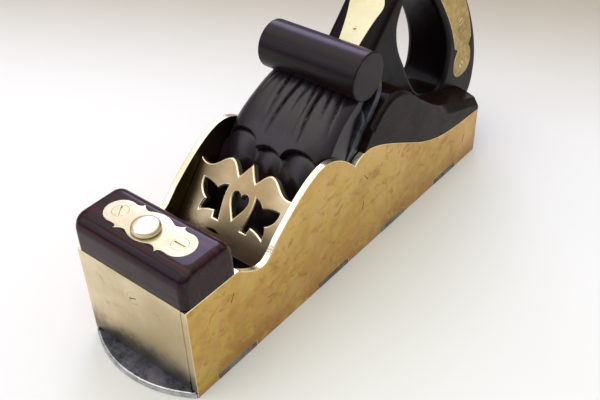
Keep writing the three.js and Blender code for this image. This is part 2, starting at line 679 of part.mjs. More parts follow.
// A round head and a long leaf above it, with a notch on each side where they meet.
function toteSideInlayShape() {
  const shape = new THREE.Shape();
  shape.moveTo(228.5, 57.5);
  shape.lineTo(232.1, 55.5);
  shape.bezierCurveTo(227.6, 51, 226.5, 37.2, 238, 37.2);
  shape.bezierCurveTo(249, 37.2, 249, 48, 243.7, 54.6);
  shape.lineTo(245.6, 59.3);
  shape.bezierCurveTo(242, 75, 232, 92, 222, 103);
  shape.bezierCurveTo(216, 110, 208, 118, 203, 116); // tip of the leaf
  shape.bezierCurveTo(198, 114, 203, 104, 207, 97.5);
  shape.bezierCurveTo(213, 88, 224, 75, 228.5, 57.5);
  return shape;
}

function toteSideInlaySolid(sign) {
  const [from, to] = [HALF_TOTE - INLAY_THICKNESS, HALF_TOTE + PROUD].map((x) => sign * x);
  return extruded(toteSideInlayShape(), PROFILE, Math.min(from, to), Math.max(from, to), 4);
}

function toteSideRecess(sign) {
  const [from, to] = [HALF_TOTE - INLAY_THICKNESS - GAP, HALF_TOTE + 1].map((x) => sign * x);
  return extruded(grown(toteSideInlayShape(), GAP), PROFILE, Math.min(from, to), Math.max(from, to));
}

const TOTE_FACE = HALF_TOTE + PROUD;
const toteSideScrewHoles = [];
for (const [side, sign] of [["right", 1], ["left", -1]])
  for (const { name, y, z, slot } of TOTE_SIDE_SCREWS)
    toteSideScrewHoles.push(
      screw(`tote_screw_${side}_${name}`, TOTE_SCREW, [sign * TOTE_FACE, y, z], [sign, 0, 0], slot),
    );

// The front inlay widens upwards from the bed, and ends in a point.
function toteFrontInlayShape() {
  const shape = new THREE.Shape();
  shape.moveTo(-5, -8);
  shape.quadraticCurveTo(0, -12, 5, -8);
  shape.bezierCurveTo(6.4, 2, 7, 10, 9.2, 17);
  shape.bezierCurveTo(10.4, 21, 8, 24, 5.5, 26.5);
  shape.quadraticCurveTo(2, 29.2, 0, 31.5);
  shape.quadraticCurveTo(-2, 29.2, -5.5, 26.5);
  shape.bezierCurveTo(-8, 24, -10.4, 21, -9.2, 17);
  shape.bezierCurveTo(-7, 10, -6.4, 2, -5, -8);
  return shape;
}

const nailAt = new THREE.Vector3(0, 6, PROUD).applyMatrix4(TOTE_FRONT).toArray();
const nailHole = screw("tote_front_nail", NAIL, nailAt, [0, -LEAN, LEAN], 0, PALE_BRASS);

function toteFrontInlay() {
  const plate = extruded(toteFrontInlayShape(), TOTE_FRONT, -INLAY_THICKNESS, PROUD, 6);
  return plate.subtract(nailHole);
}

function tote() {
  const body = extruded(toteOutline(), PROFILE, -HALF_TOTE, HALF_TOTE, 8);
  const hole = extruded(fingerHole(), PROFILE, -HALF_TOTE - 1, HALF_TOTE + 1, 6);
  const frontInlay = grown(toteFrontInlayShape(), GAP);
  const frontRecess = extruded(frontInlay, TOTE_FRONT, -INLAY_THICKNESS - GAP, 3);
  return subtractAll(body, [
    hole,
    screwGroove(),
    frontRecess,
    nailHole,
    toteSideRecess(1),
    toteSideRecess(-1),
    ...toteSideScrewHoles,
  ]);
}

// The slot that the tote is let into, open at the bed and at the top.
function toteSlot() {
  const half = HALF_TOTE + GAP;
  const open = polygon([
    [STEP - GAP, FOOT_BACK - GAP],
    [STEP + 40, FOOT_BACK - GAP],
    [STEP + 40, 2],
    [STEP - GAP, 2],
  ]);
  return [
    extruded(grown(toteOutline(), GAP, 8), PROFILE, -half, half),
    extruded(open, BED_PROFILE, -half, half),
  ];
}

// What the sides take from the rear infill, past their tail end too.
function sideClearances() {
  const behind = polygon([
    [BODY_LENGTH - 1, -1],
    [BODY_LENGTH + GAP, -1],
    [BODY_LENGTH + GAP, TAIL_HEIGHT + GAP],
    [BODY_LENGTH - 1, TAIL_HEIGHT + GAP],
  ]);
  return [[STUFFING, HALF + 1], [-HALF - 1, -STUFFING]].flatMap(([from, to]) => [
    extruded(sideProfile(GAP, -1), PROFILE, from, to, 6),
    extruded(behind, PROFILE, from, to),
  ]);
}

function rearInfill() {
  const block = extruded(rearProfile(), PROFILE, -HALF, HALF, 5);
  const ends = extruded(rearPlan(), PLAN, 0, 100, 12);
  return subtractAll(block.intersect(ends), [
    ...sideClearances(),
    ...toteSlot(),
    screwGroove(),
    ...sideScrewHoles,
  ]);
}

// ---- assembly ----
const plane = new THREE.Group();

function addPart(name, made, material) {
  const { vertProperties, triVerts } = made.getMesh();
  const geometry = new THREE.BufferGeometry();
  geometry.setAttribute("position", new THREE.BufferAttribute(vertProperties, 3));
  geometry.setIndex(new THREE.BufferAttribute(triVerts, 1));
  geometry.computeVertexNormals();
  const mesh = new THREE.Mesh(geometry, material);
  mesh.name = name;
  plane.add(mesh);
}

addPart("sole_front", sole(true), STEEL);
addPart("sole_rear", sole(false), STEEL);
addPart("side_plate_right", sidePlate(1), BRASS);
addPart("side_plate_left", sidePlate(-1), BRASS);
addPart("front_plate", frontPlate(), BRASS);
addPart("front_infill", frontInfill(), ROSEWOOD);
addPart("front_inlay_plate", bunInlay(), PALE_BRASS);
addPart("strike_button", strikeButton(), PALE_BRASS);
addPart("bridge", bridge(), BRASS);
addPart("plane_iron", planeIron(), BRIGHT_STEEL);
addPart("cap_iron", capIron(), BRIGHT_STEEL);
addPart("cap_iron_screw", capIronScrew(), STEEL);
addPart("wedge", wedge(), ROSEWOOD);
addPart("rear_infill", rearInfill(), ROSEWOOD);
addPart("tote", tote(), ROSEWOOD);
addPart("tote_front_inlay", toteFrontInlay(), PALE_BRASS);
for (const [side, sign] of [["right", 1], ["left", -1]]) {
  const inlay = subtractAll(toteSideInlaySolid(sign), toteSideScrewHoles);
  addPart(`tote_side_inlay_${side}`, inlay, BRASS);
}
for (const { name, body, material } of screws) addPart(name, body, material);

// The origin is on the surface the sole rests on, at the middle of the overall length.
const box = new THREE.Box3().setFromObject(plane);
plane.position.set(0, -(box.min.y + box.max.y) / 2, -box.min.z);

export default plane;
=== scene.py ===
"""A smoothing plane with a dovetailed brass and steel body, rosewood infill and a loop handle.

Pieces are drawn in millimetres in the plane's own drawing frame, where y runs back from the front
plate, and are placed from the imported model's boxes. Every surface has a procedural material.
"""

import math

import bmesh
import bpy
from mathutils import Matrix, Vector
from mathutils.geometry import tessellate_polygon


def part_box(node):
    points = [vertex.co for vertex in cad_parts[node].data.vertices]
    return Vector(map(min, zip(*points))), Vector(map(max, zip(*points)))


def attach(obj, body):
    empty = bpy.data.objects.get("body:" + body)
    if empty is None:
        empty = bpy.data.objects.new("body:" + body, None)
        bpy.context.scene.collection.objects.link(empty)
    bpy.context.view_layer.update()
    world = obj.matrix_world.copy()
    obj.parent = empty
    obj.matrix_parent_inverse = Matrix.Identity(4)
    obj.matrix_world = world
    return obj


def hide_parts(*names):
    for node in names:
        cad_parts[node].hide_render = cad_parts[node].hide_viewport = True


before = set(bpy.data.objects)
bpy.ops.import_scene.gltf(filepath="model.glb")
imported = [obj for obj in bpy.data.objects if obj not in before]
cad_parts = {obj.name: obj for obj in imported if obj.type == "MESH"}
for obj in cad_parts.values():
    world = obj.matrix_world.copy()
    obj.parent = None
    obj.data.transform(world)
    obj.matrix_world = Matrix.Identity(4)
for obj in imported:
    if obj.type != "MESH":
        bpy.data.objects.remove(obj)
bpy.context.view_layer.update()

# ---- driving dimensions, in millimetres ----
BODY_WIDTH = 64
BODY_LENGTH = 227
SIDE_THICKNESS = 3.2
SOLE_THICKNESS = 3
BOW = 10  # how far the toe and the heel bow out past the sides
FRONT_HEIGHT = 50.2
TAIL_HEIGHT = 27.1
BUN_LENGTH = 30.4
BUN_TOP = 68
BED_ANGLE = math.radians(50)
BED_FOOT = 68.2
MOUTH_FRONT = 61.2
IRON_WIDTH = 57
IRON_THICKNESS = 3.6
CAP_IRON_THICKNESS = 2.7
BRIDGE_THICKNESS = 3.8
BRIDGE_FACE = 33.4
ROLL_RADIUS = 11.7
ROLL_LENGTH = 55.4
TOTE_THICKNESS = 27
INLAY_THICKNESS = 1.4
PROUD = 0.1
GAP = 0.3
SEAM = 0.06  # a hairline joint

# ---- values that follow from them ----
HALF = BODY_WIDTH / 2
INNER = HALF - SIDE_THICKNESS
STUFFING = INNER - GAP
BOW_RADIUS = (HALF * HALF + BOW * BOW) / (2 * BOW)
TOE_CENTRE = BOW_RADIUS - BOW
HEEL_CENTRE = BODY_LENGTH + BOW - BOW_RADIUS
BOW_ANGLE = math.asin(HALF / BOW_RADIUS)
HORN_ANGLE = 0.97 * BOW_ANGLE  # the sharp tips of the toe and heel are filed back this far
IRON_FACE = GAP + IRON_THICKNESS
CAP_BACK = IRON_FACE + GAP
CAP_FACE = CAP_BACK + CAP_IRON_THICKNESS
WEDGE_BACK = CAP_FACE + GAP
ROLL_S = 108.8
ROLL_N = IRON_FACE + GAP + ROLL_RADIUS
HALF_TOTE = TOTE_THICKNESS / 2
COS_BED = math.cos(BED_ANGLE)
SIN_BED = math.sin(BED_ANGLE)
QUARTER = math.pi / 2

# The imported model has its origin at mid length, so the front plate's face gives the shift.
MM = 0.001
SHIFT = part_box("front_plate")[0].y
WORLD = Matrix.Translation((0, SHIFT, 0)) @ Matrix.Scale(MM, 4)


# ---- drawing frames ----
def basis(u, v, w, origin=(0, 0, 0)):
    """A drawing plane: its two axes, the direction it is extruded in, and its origin."""
    turn = Matrix((u, v, w)).transposed().to_4x4()
    return Matrix.Translation(origin) @ turn


ALONG = (0, COS_BED, SIN_BED)
OFF = (0, -SIN_BED, COS_BED)
LEAN = math.sqrt(0.5)  # the front of the handle leans back at 45 degrees
FACE_Y = 149.2
FACE_Z = 93.1
PLAN = basis((1, 0, 0), (0, 1, 0), (0, 0, 1))
PROFILE = basis((0, 1, 0), (0, 0, 1), (1, 0, 0))
FRONTAL = basis((1, 0, 0), (0, 0, 1), (0, -1, 0))
BED_PLAN = basis((1, 0, 0), ALONG, OFF, (0, BED_FOOT, 0))
BED_PROFILE = basis(ALONG, OFF, (1, 0, 0), (0, BED_FOOT, 0))
TOTE_FRONT = basis((1, 0, 0), (0, LEAN, LEAN), (0, -LEAN, LEAN), (0, FACE_Y, FACE_Z))


class Outline:
    """A closed outline drawn with lines, curves and arcs."""

    def __init__(self, x, y):
        self.points = [Vector((x, y))]

    def line(self, x, y):
        self.points.append(Vector((x, y)))
        return self

    def curve(self, x1, y1, x2, y2, x3, y3, steps=12):
        a, b, c, d = self.points[-1], Vector((x1, y1)), Vector((x2, y2)), Vector((x3, y3))
        for i in range(1, steps + 1):
            t = i / steps
            u = 1 - t
            self.points.append(u**3 * a + 3 * u * u * t * b + 3 * u * t * t * c + t**3 * d)
        return self

    def bend(self, x1, y1, x2, y2, steps=8):
        a, b, c = self.points[-1], Vector((x1, y1)), Vector((x2, y2))
        for i in range(1, steps + 1):
            t = i / steps
            self.points.append((1 - t) ** 2 * a + 2 * (1 - t) * t * b + t * t * c)
        return self

    def arc(self, x, y, radius, start, end, steps=16):
        for i in range(steps + 1):
            angle = start + (end - start) * i / steps
            self.points.append(Vector((x + radius * math.cos(angle), y + radius * math.sin(angle))))
        return self

    def closed(self):
        """The points without repeats, counter-clockwise."""
        kept = []
        for point in self.points:
            if not kept or (point - kept[-1]).length > 1e-4:
                kept.append(point)
        if (kept[0] - kept[-1]).length < 1e-4:
            kept.pop()
        area = sum(a.cross(b) for a, b in zip(kept, kept[1:] + kept[:1]))
        return kept if area > 0 else kept[::-1]


def circle(x, y, radius, steps=32):
    return Outline(x + radius, y).arc(x, y, radius, 0, math.tau, steps).closed()


def rounded_rectangle(x0, y0, x1, y1, radius, steps=6):
    shape = Outline(x0 + radius, y0).line(x1 - radius, y0)
    shape.arc(x1 - radius, y0 + radius, radius, -QUARTER, 0, steps)
    shape.arc(x1 - radius, y1 - radius, radius, 0, QUARTER, steps)
    shape.arc(x0 + radius, y1 - radius, radius, QUARTER, math.pi, steps)
    shape.arc(x0 + radius, y0 + radius, radius, math.pi, math.pi + QUARTER, steps)
    return shape.closed()


def mirrored(half):
    """A closed outline from its half on the +x side."""
    half.points += [Vector((-point.x, point.y)) for point in reversed(half.points)]
    return half.closed()


MITRE_LIMIT = 0.45


def inset(points, distance):
    """A counter-clockwise outline moved inwards by a distance, with short corners."""
    moved = []
    count = len(points)
    for i, point in enumerate(points):
        before = (point - points[i - 1]).normalized()
        after = (points[(i + 1) % count] - point).normalized()
        inward = Vector((-before.y - after.y, before.x + after.x))
        inward = inward.normalized() if inward.length > 1e-6 else Vector((-before.y, before.x))
        stretch = max(inward.dot(Vector((-after.y, after.x))), MITRE_LIMIT)
        moved.append(point + inward * (distance / stretch))
    return moved


# ---- meshes ----
class Body:
    """Rings of points that walls and fills turn into one closed mesh."""

    def __init__(self):
        self.bm = bmesh.new()

    def ring(self, points):
        return [self.bm.verts.new(point) for point in points]

    def wall(self, lower, upper, finish=0):
        count = len(lower)
        for i in range(count):
            j = (i + 1) % count
            corners = [lower[i], lower[j], upper[j], upper[i]]
            self.face(corners, finish)

    def skin(self, rings, finish=0):
        for lower, upper in zip(rings, rings[1:]):
            self.wall(lower, upper, finish)

    def face(self, corners, finish):
        made = self.bm.faces.new(corners)
        made.material_index = finish

    def fill(self, rings, finish=0):
        corners = [corner for ring in rings for corner in ring]
        for triangle in tessellate_polygon([[corner.co for corner in ring] for ring in rings]):
            self.face([corners[i] for i in triangle], finish)

    def pocket(self, points, level, floor_level):
        """A flat-bottomed recess. Returns its rim, for the face that it opens in."""
        rim = self.ring([(p.x, p.y, level) for p in points])
        floor = self.ring([(p.x, p.y, floor_level) for p in points])
        self.wall(rim, floor)
        self.fill([floor])
        return rim

    def mesh(self, name, place=PLAN):
        self.bm.transform(place)
        bmesh.ops.remove_doubles(self.bm, verts=self.bm.verts, dist=1e-4)
        bmesh.ops.recalc_face_normals(self.bm, faces=self.bm.faces)
        mesh = bpy.data.meshes.new(name)
        self.bm.to_mesh(mesh)
        self.bm.free()
        obj = bpy.data.objects.new(name, mesh)
        bpy.context.collection.objects.link(obj)
        return obj


def arris(low, high, rounding, steps):
    """The (depth, inset) of each ring of a slab with rounded arrises."""
    lower, upper = rounding
    rings = []
    for i in range(steps + 1):
        angle = QUARTER * i / steps
        rings.append((low + lower * (1 - math.sin(angle)), lower * (1 - math.cos(angle))))
    rings.reverse()
    for i in range(steps + 1):
        angle = QUARTER * i / steps
        rings.append((high - upper * (1 - math.sin(angle)), upper * (1 - math.cos(angle))))
    return rings


def slab(name, outline, place, low, high, rounding=(0.3, 0.3), steps=3, holes=(), bores=(), recesses=()):
    """A closed plate with rounded arrises. Its edge faces are finish 1 and its flat faces 0.

    A bore is a hole with square edges. A recess is (True for the high side, outline, depth).
    """
    body = Body()
    loops = [(outline, 1)] + [(hole, -1) for hole in holes] + [(bore, 0) for bore in bores]
    levels = arris(low, high, rounding, steps)
    ends = {False: [], True: []}
    for points, sign in loops:
        rings = [body.ring([(p.x, p.y, depth) for p in inset(points, sign * d)]) for depth, d in levels]
        body.skin(rings, 1)
        ends[False].append(rings[0])
        ends[True].append(rings[-1])
    for on_high, points, depth in recesses:
        level = high if on_high else low
        ends[on_high].append(body.pocket(points, level, level - depth if on_high else level + depth))
    for rings in ends.values():
        body.fill(rings)
    return body.mesh(name, place)


def loft(name, sections, place=PLAN):
    """A closed skin over sections that all have the same number of points."""
    body = Body()
    rings = [body.ring(section) for section in sections]
    body.skin(rings)
    body.fill([rings[0]])
    body.fill([rings[-1]])
    return body.mesh(name, place)


def lathe(name, profile, place, sides=40):
    """A profile of (radius, height) points turned about the frame's third axis."""
    body = Body()
    rings = []
    for radius, height in profile:
        angles = [math.tau * i / sides for i in range(sides)]
        rings.append(body.ring([(radius * math.cos(a), radius * math.sin(a), height) for a in angles]))
    body.skin(rings)
    body.fill([rings[0]])
    body.fill([rings[-1]])
    return body.mesh(name, place)


def cut(obj, tool):
    """Takes a tool's shape out of a piece."""
    change = obj.modifiers.new("cut", "BOOLEAN")
    change.object = tool
    change.operation = "DIFFERENCE"
    change.solver = "EXACT"
    graph = bpy.context.evaluated_depsgraph_get()
    result = bpy.data.meshes.new_from_object(obj.evaluated_get(graph))
    obj.modifiers.clear()
    obj.data = result
    bpy.data.objects.remove(tool)


SHARP = math.radians(38)


def finish(obj, body, slot_name, materials, node=None):
    """Brings a piece to size, and gives it its shading, materials and body."""
    obj.data.transform(WORLD)
    for material in materials:
        obj.data.materials.append(material)
    obj.data.shade_smooth()
    obj.data.set_sharp_from_angle(angle=SHARP)
    normals = obj.modifiers.new("normals", "WEIGHTED_NORMAL")
    normals.keep_sharp = True
    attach(obj, body)
    if node:
        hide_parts(node)


# ---- material tools ----
class Recipe:
    """A material being built: nodes are added by short calls and linked as they are made."""

    def __init__(self, name):
        self.material = bpy.data.materials.new(name)
        self.material.use_nodes = True
        self.tree = self.material.node_tree
        self.shader = self.tree.nodes["Principled BSDF"]
        coordinates = self.tree.nodes.new("ShaderNodeTexCoord")
        self.place = coordinates.outputs["Object"]

    def set(self, **values):
        for name, value in values.items():
            self.put(self.shader.inputs[name.replace("_", " ")], value)

    def put(self, socket, value):
        if isinstance(value, bpy.types.NodeSocket):
            self.tree.links.new(value, socket)
        else:
            socket.default_value = value

    def add(self, kind, output, **inputs):
        node = self.tree.nodes.new(kind)
        for name, value in inputs.items():
            self.put(node.inputs[name.replace("_", " ")], value)
        return node, node.outputs[output]

    def scaled(self, x, y, z, turn=(0, 0, 0)):
        """Object coordinates in units of x, y and z millimetres, after a turn."""
        node, out = self.add("ShaderNodeMapping", "Vector", Vector=self.place, Rotation=turn)
        node.vector_type = "POINT"
        node.inputs["Scale"].default_value = (1 / (x * MM), 1 / (y * MM), 1 / (z * MM))
        return out

    def noise(self, size, detail=3, roughness=0.55, distortion=0.0, turn=(0, 0, 0)):
        """Noise with blobs about size millimetres across: one number, or one for each axis."""
        sizes = size if isinstance(size, tuple) else (size, size, size)
        inputs = {"Scale": 1.0, "Detail": detail, "Roughness": roughness, "Distortion": distortion}
        _, out = self.add("ShaderNodeTexNoise", "Fac", Vector=self.scaled(*sizes, turn), **inputs)
        return out

    def specks(self, spacing, radius):
        """A mask of small round specks, radius and spacing in millimetres."""
        inputs = {"Scale": 1.0, "Randomness": 1.0}
        _, distance = self.add(
            "ShaderNodeTexVoronoi", "Distance", Vector=self.scaled(spacing, spacing, spacing), **inputs
        )
        return self.between(distance, radius / spacing, 0)

    def between(self, value, low, high):
        """Maps low..high to 0..1, clamped and smooth."""
        node = self.tree.nodes.new("ShaderNodeMapRange")
        node.interpolation_type = "SMOOTHSTEP"
        self.put(node.inputs["Value"], value)
        node.inputs["From Min"].default_value = low
        node.inputs["From Max"].default_value = high
        return node.outputs["Result"]

    def math(self, operation, a, b):
        node = self.tree.nodes.new("ShaderNodeMath")
        node.operation = operation
        self.put(node.inputs[0], a)
        self.put(node.inputs[1], b)
        return node.outputs["Value"]

    def mix(self, amount, a, b):
        node = self.tree.nodes.new("ShaderNodeMix")
        node.data_type = "RGBA"
        self.put(node.inputs[0], amount)
        self.put(node.inputs[6], a)
        self.put(node.inputs[7], b)
        return node.outputs[2]

    def stain(self, colour, mask, strength, stain):
        """Lays a stain over a colour where the mask is, up to a strength."""
        return self.mix(self.math("MULTIPLY", mask, strength), colour, stain)

    def axis(self, name):
        """One coordinate of the surface point, in millimetres of the drawing frame."""
        node, _ = self.add("ShaderNodeSeparateXYZ", "X", Vector=self.place)
        offset = SHIFT / MM if name == "Y" else 0
        return self.math("SUBTRACT", self.math("MULTIPLY", node.outputs[name], 1 / MM), offset)

    def bump(self, height, depth, normal=None):
        """Tilts the surface by a height map whose full range is depth millimetres."""
        node = self.tree.nodes.new("ShaderNodeBump")
        node.inputs["Strength"].default_value = 1.0
        node.inputs["Distance"].default_value = depth * MM
        self.put(node.inputs["Height"], height)
        if normal:
            self.put(node.inputs["Normal"], normal)
        return node.outputs["Normal"]


def rgb(red, green, blue):
    """A colour given in 0-255 display values."""
    def linear(value):
        value /= 255
        return value / 12.92 if value <= 0.04045 else ((value + 0.055) / 1.055) ** 2.4
    return (linear(red), linear(green), linear(blue), 1)


def brass(name, pale, deep, stain, roughness, scratches=(60, 1.2, 60), patina=0.55):
    """Worn brass: cloudy colour, brown stains, dark pits and fine scratches along one axis."""
    recipe = Recipe(name)
    clouds = recipe.between(recipe.noise(34, 4), 0.36, 0.66)
    streaks = recipe.between(recipe.noise((20, 5, 12), 5, 0.65), 0.4, 0.7)
    colour = recipe.mix(clouds, pale, deep)
    colour = recipe.stain(colour, streaks, 0.45, deep)
    stains = recipe.between(recipe.noise(11, 6, 0.7, 0.6), 0.56, 0.76)
    colour = recipe.stain(colour, stains, patina, stain)
    pits = recipe.math("MULTIPLY", recipe.specks(7, 0.4), recipe.between(recipe.noise(19), 0.52, 0.6))
    colour = recipe.stain(colour, pits, 0.7, rgb(84, 52, 26))
    fine = recipe.noise(scratches, 5, 0.75)
    soft = recipe.noise(2.2, 5, 0.7)
    spread = recipe.math("ADD", recipe.math("MULTIPLY", fine, 0.16), roughness - 0.12)
    recipe.set(Base_Color=colour, Metallic=1.0)
    recipe.set(Roughness=recipe.math("ADD", spread, recipe.math("MULTIPLY", clouds, 0.1)))
    tilt = recipe.bump(fine, 0.02)
    tilt = recipe.bump(soft, 0.05, tilt)
    recipe.set(Normal=recipe.bump(recipe.math("SUBTRACT", 1.0, pits), 0.12, tilt))
    return recipe, colour


def side_brass():
    """The sides: golden, browner in drifts along them, and browner and darker towards the sole with painted
    shade of the shadowed floor they reflect.
    """
    recipe, colour = brass("brass_side", rgb(216, 181, 112), rgb(196, 156, 88), rgb(150, 98, 46), 0.36)
    # painted shade: darker towards the sole, for the shadowed floor that the lower side reflects
    height = recipe.math("ADD", recipe.axis("Z"), recipe.math("MULTIPLY", recipe.noise(22, 4), 26.0))
    low = recipe.between(height, 32, 13)
    colour = recipe.stain(colour, low, 0.6, rgb(164, 112, 58))
    olive = recipe.between(recipe.noise(9, 4, 0.6, 0.5), 0.5, 0.66)
    colour = recipe.stain(colour, olive, 0.7, rgb(206, 180, 88))
    brown = recipe.between(recipe.noise((12, 8, 5), 5, 0.7, 1.0), 0.52, 0.7)
    colour = recipe.stain(colour, brown, 0.7, rgb(166, 112, 52))
    drift = recipe.between(recipe.noise((40, 26, 9), 4, 0.6, 0.8), 0.55, 0.72)
    colour = recipe.stain(colour, drift, 0.4, rgb(176, 120, 58))
    recipe.set(Base_Color=colour)
    return recipe.material


def front_brass():
    """The front plate: paler and greyer, with a dark stain above its lower right corner and painted shade
    along its foot.
    """
    recipe, colour = brass("brass_front", rgb(226, 211, 176), rgb(200, 180, 140), rgb(150, 112, 70), 0.34)
    across = recipe.between(recipe.axis("X"), 12, 29)
    low = recipe.between(recipe.axis("Z"), 26, 8)
    patch = recipe.between(recipe.noise(9, 5, 0.7), 0.35, 0.7)
    dark = recipe.math("MULTIPLY", recipe.math("MULTIPLY", across, low), patch)
    colour = recipe.stain(colour, dark, 0.7, rgb(112, 84, 54))
    # painted shade: the foot of the front face darkened as if in shadow, up to a ragged line
    ragged_shade_height = recipe.math("ADD", recipe.axis("Z"), recipe.math("MULTIPLY", patch, 5.0))
    foot = recipe.between(ragged_shade_height, 21, 8)
    colour = recipe.stain(colour, foot, 0.8, rgb(92, 82, 60))
    recipe.set(Base_Color=colour)
    return recipe.material


def plain_brass(name, pale, deep, stain, roughness, patina=0.4):
    """Brass that is alike all over the piece."""
    recipe, _ = brass(name, pale, deep, stain, roughness, (30, 0.8, 0.8), patina)
    return recipe.material


def bridge_brass():
    """The bridge: brown brass, with painted shade making it darker towards its foot and its left end."""
    recipe, colour = brass("brass_bridge", rgb(198, 180, 140), rgb(166, 142, 100), rgb(92, 66, 38), 0.3)
    # painted shade: darker towards the foot and the left end, where shade falls inside the body
    low = recipe.between(recipe.axis("Z"), 44, 20)
    left = recipe.between(recipe.axis("X"), -8, -30)
    painted_shade = recipe.math("MAXIMUM", low, recipe.math("MULTIPLY", left, 0.85))
    colour = recipe.stain(colour, painted_shade, 0.9, rgb(70, 55, 34))
    recipe.set(Base_Color=colour)
    return recipe.material


def olive_brass():
    """The handle's side inlays, mottled olive where the lacquer has worn."""
    recipe, colour = brass("brass_olive", rgb(186, 158, 92), rgb(152, 120, 58), rgb(92, 74, 36), 0.3)
    mottle = recipe.between(recipe.noise(3.2, 5, 0.75, 0.5), 0.45, 0.62)
    colour = recipe.stain(colour, mottle, 0.5, rgb(214, 196, 132))
    recipe.set(Base_Color=colour)
    return recipe.material


def steel(name, pale, deep, roughness, rust=0.0):
    """Dark scratched steel, with long fine scratches both ways, dull patches and specks of rust."""
    recipe = Recipe(name)
    patches = recipe.between(recipe.noise(13, 5, 0.7), 0.38, 0.64)
    along = recipe.noise((0.7, 40, 3), 4, 0.8, turn=(0, 0, 0.5))
    across = recipe.noise((26, 0.5, 3), 4, 0.8, turn=(0, 0, -0.35))
    scratches = recipe.math("MAXIMUM", along, across)
    colour = recipe.mix(patches, pale, deep)
    colour = recipe.mix(recipe.between(scratches, 0.62, 0.78), colour, rgb(196, 200, 204))
    spots = recipe.math("MULTIPLY", recipe.between(recipe.noise(2.4, 4), 0.6, 0.7), rust)
    colour = recipe.mix(spots, colour, rgb(92, 62, 46))
    recipe.set(Base_Color=colour, Metallic=1.0)
    rough = recipe.math("MULTIPLY", recipe.between(scratches, 0.4, 0.8), 0.22)
    recipe.set(Roughness=recipe.math("ADD", rough, roughness - 0.08))
    tilt = recipe.bump(scratches, 0.05)
    recipe.set(Normal=recipe.bump(recipe.noise(1.3, 5, 0.8), 0.05, tilt))
    return recipe.material


def rosewood(name, dark, streak, tint, grain=(70, 1.6, 3.2), turn=(0, 0, 0), shine=0.16, gloss=0.35):
    """Polished rosewood: near-black with reddish streaks along the grain, pores and a glossy coat."""
    recipe = Recipe(name)
    bands = recipe.between(recipe.noise(grain, 5, 0.62, 0.5, turn), 0.44, 0.66)
    wide = recipe.between(recipe.noise(tuple(4 * size for size in grain), 3, 0.5, 0.4, turn), 0.4, 0.64)
    colour = recipe.stain(dark, bands, 0.8, streak)
    colour = recipe.stain(colour, wide, 0.6, tint)
    pore_size = (grain[0] * 0.16, grain[1] * 0.14, grain[2] * 0.08)
    pores = recipe.between(recipe.noise(pore_size, 2, 0.6, 0, turn), 0.66, 0.74)
    colour = recipe.stain(colour, pores, 0.7, (0.002, 0.001, 0.001, 1))
    wear = recipe.between(recipe.noise(16, 5, 0.7), 0.4, 0.72)
    recipe.set(Base_Color=colour, Specular_IOR_Level=0.06)
    recipe.set(Roughness=recipe.math("ADD", recipe.math("MULTIPLY", wear, 0.18), shine + 0.14))
    recipe.set(Coat_Weight=gloss, Coat_Roughness=shine, Coat_IOR=1.5)
    tilt = recipe.bump(recipe.noise(1.1, 4, 0.7), 0.03)
    tilt = recipe.bump(recipe.math("SUBTRACT", 1.0, pores), 0.05, tilt)
    recipe.set(Normal=recipe.bump(recipe.noise(7, 3), 0.12, tilt))
    return recipe.material


EDGE_STAIN = rgb(178, 132, 74)
SIDE_BRASS = side_brass()
FRONT_BRASS = front_brass()
EDGE_BRASS = plain_brass("brass_edge", rgb(250, 240, 216), rgb(232, 216, 180), EDGE_STAIN, 0.24, 0.4)
BRIDGE_BRASS = bridge_brass()
INLAY_BRASS = plain_brass("brass_inlay", rgb(216, 206, 174), rgb(188, 176, 136), rgb(140, 120, 78), 0.34)
PALE_BRASS = plain_brass("brass_pale", rgb(214, 208, 182), rgb(204, 194, 154), rgb(166, 148, 98), 0.3, 0.25)
BUTTON_STAIN = rgb(200, 176, 130)
BUTTON_BRASS = plain_brass("brass_button", rgb(252, 246, 228), rgb(244, 234, 206), BUTTON_STAIN, 0.26, 0.2)
SCREW_STAIN = rgb(110, 92, 56)
DULL_SCREW_BRASS = plain_brass("brass_inlay_screw", rgb(216, 206, 168), rgb(190, 176, 130), SCREW_STAIN, 0.3)
OLIVE_BRASS = olive_brass()
# Painted shade: dark brass for the inner faces of the sides, standing for the shade inside the body.
INNER_SHADE_BRASS = plain_brass("brass_inner_painted_shade", rgb(112, 90, 58), rgb(70, 54, 34), rgb(34, 26, 18), 0.42)
SOLE_STEEL = steel("steel_sole", rgb(112, 116, 136), rgb(56, 60, 74), 0.4, 0.2)
RIM_STEEL = steel("steel_rim", rgb(206, 206, 206), rgb(150, 152, 156), 0.3, 0.15)
PIN_STEEL = steel("steel_pin", rgb(150, 142, 132), rgb(104, 92, 80), 0.45, 0.8)
IRON_STEEL = steel("steel_iron", rgb(92, 94, 104), rgb(52, 54, 62), 0.4, 0.4)
SCREW_STEEL = steel("steel_screw", rgb(120, 122, 126), rgb(84, 86, 90), 0.4, 0.3)
BED_TURN = (-BED_ANGLE, 0, 0)
BUN_WOOD = rosewood(
    "rosewood_bun", rgb(18, 6, 13), rgb(74, 19, 26), rgb(42, 11, 25), (60, 1.4, 3.4), gloss=0.36
)
WEDGE_WOOD = rosewood(
    "rosewood_wedge", rgb(20, 13, 20), rgb(38, 21, 27), rgb(29, 17, 28), (2, 60, 3), BED_TURN, 0.28, 0.8
)
ROLL_WOOD = rosewood(
    "rosewood_roll", rgb(17, 9, 13), rgb(40, 17, 20), rgb(26, 12, 18), (60, 2, 2), BED_TURN, 0.24, 0.32
)
REAR_WOOD = rosewood(
    "rosewood_rear", rgb(15, 9, 8), rgb(44, 19, 15), rgb(24, 12, 11), (2.2, 64, 2.2), gloss=0.12
)
TOTE_WOOD = rosewood(
    "rosewood_tote", rgb(11, 7, 8), rgb(24, 11, 12), rgb(16, 8, 10), (2.4, 50, 50), gloss=0.1
)


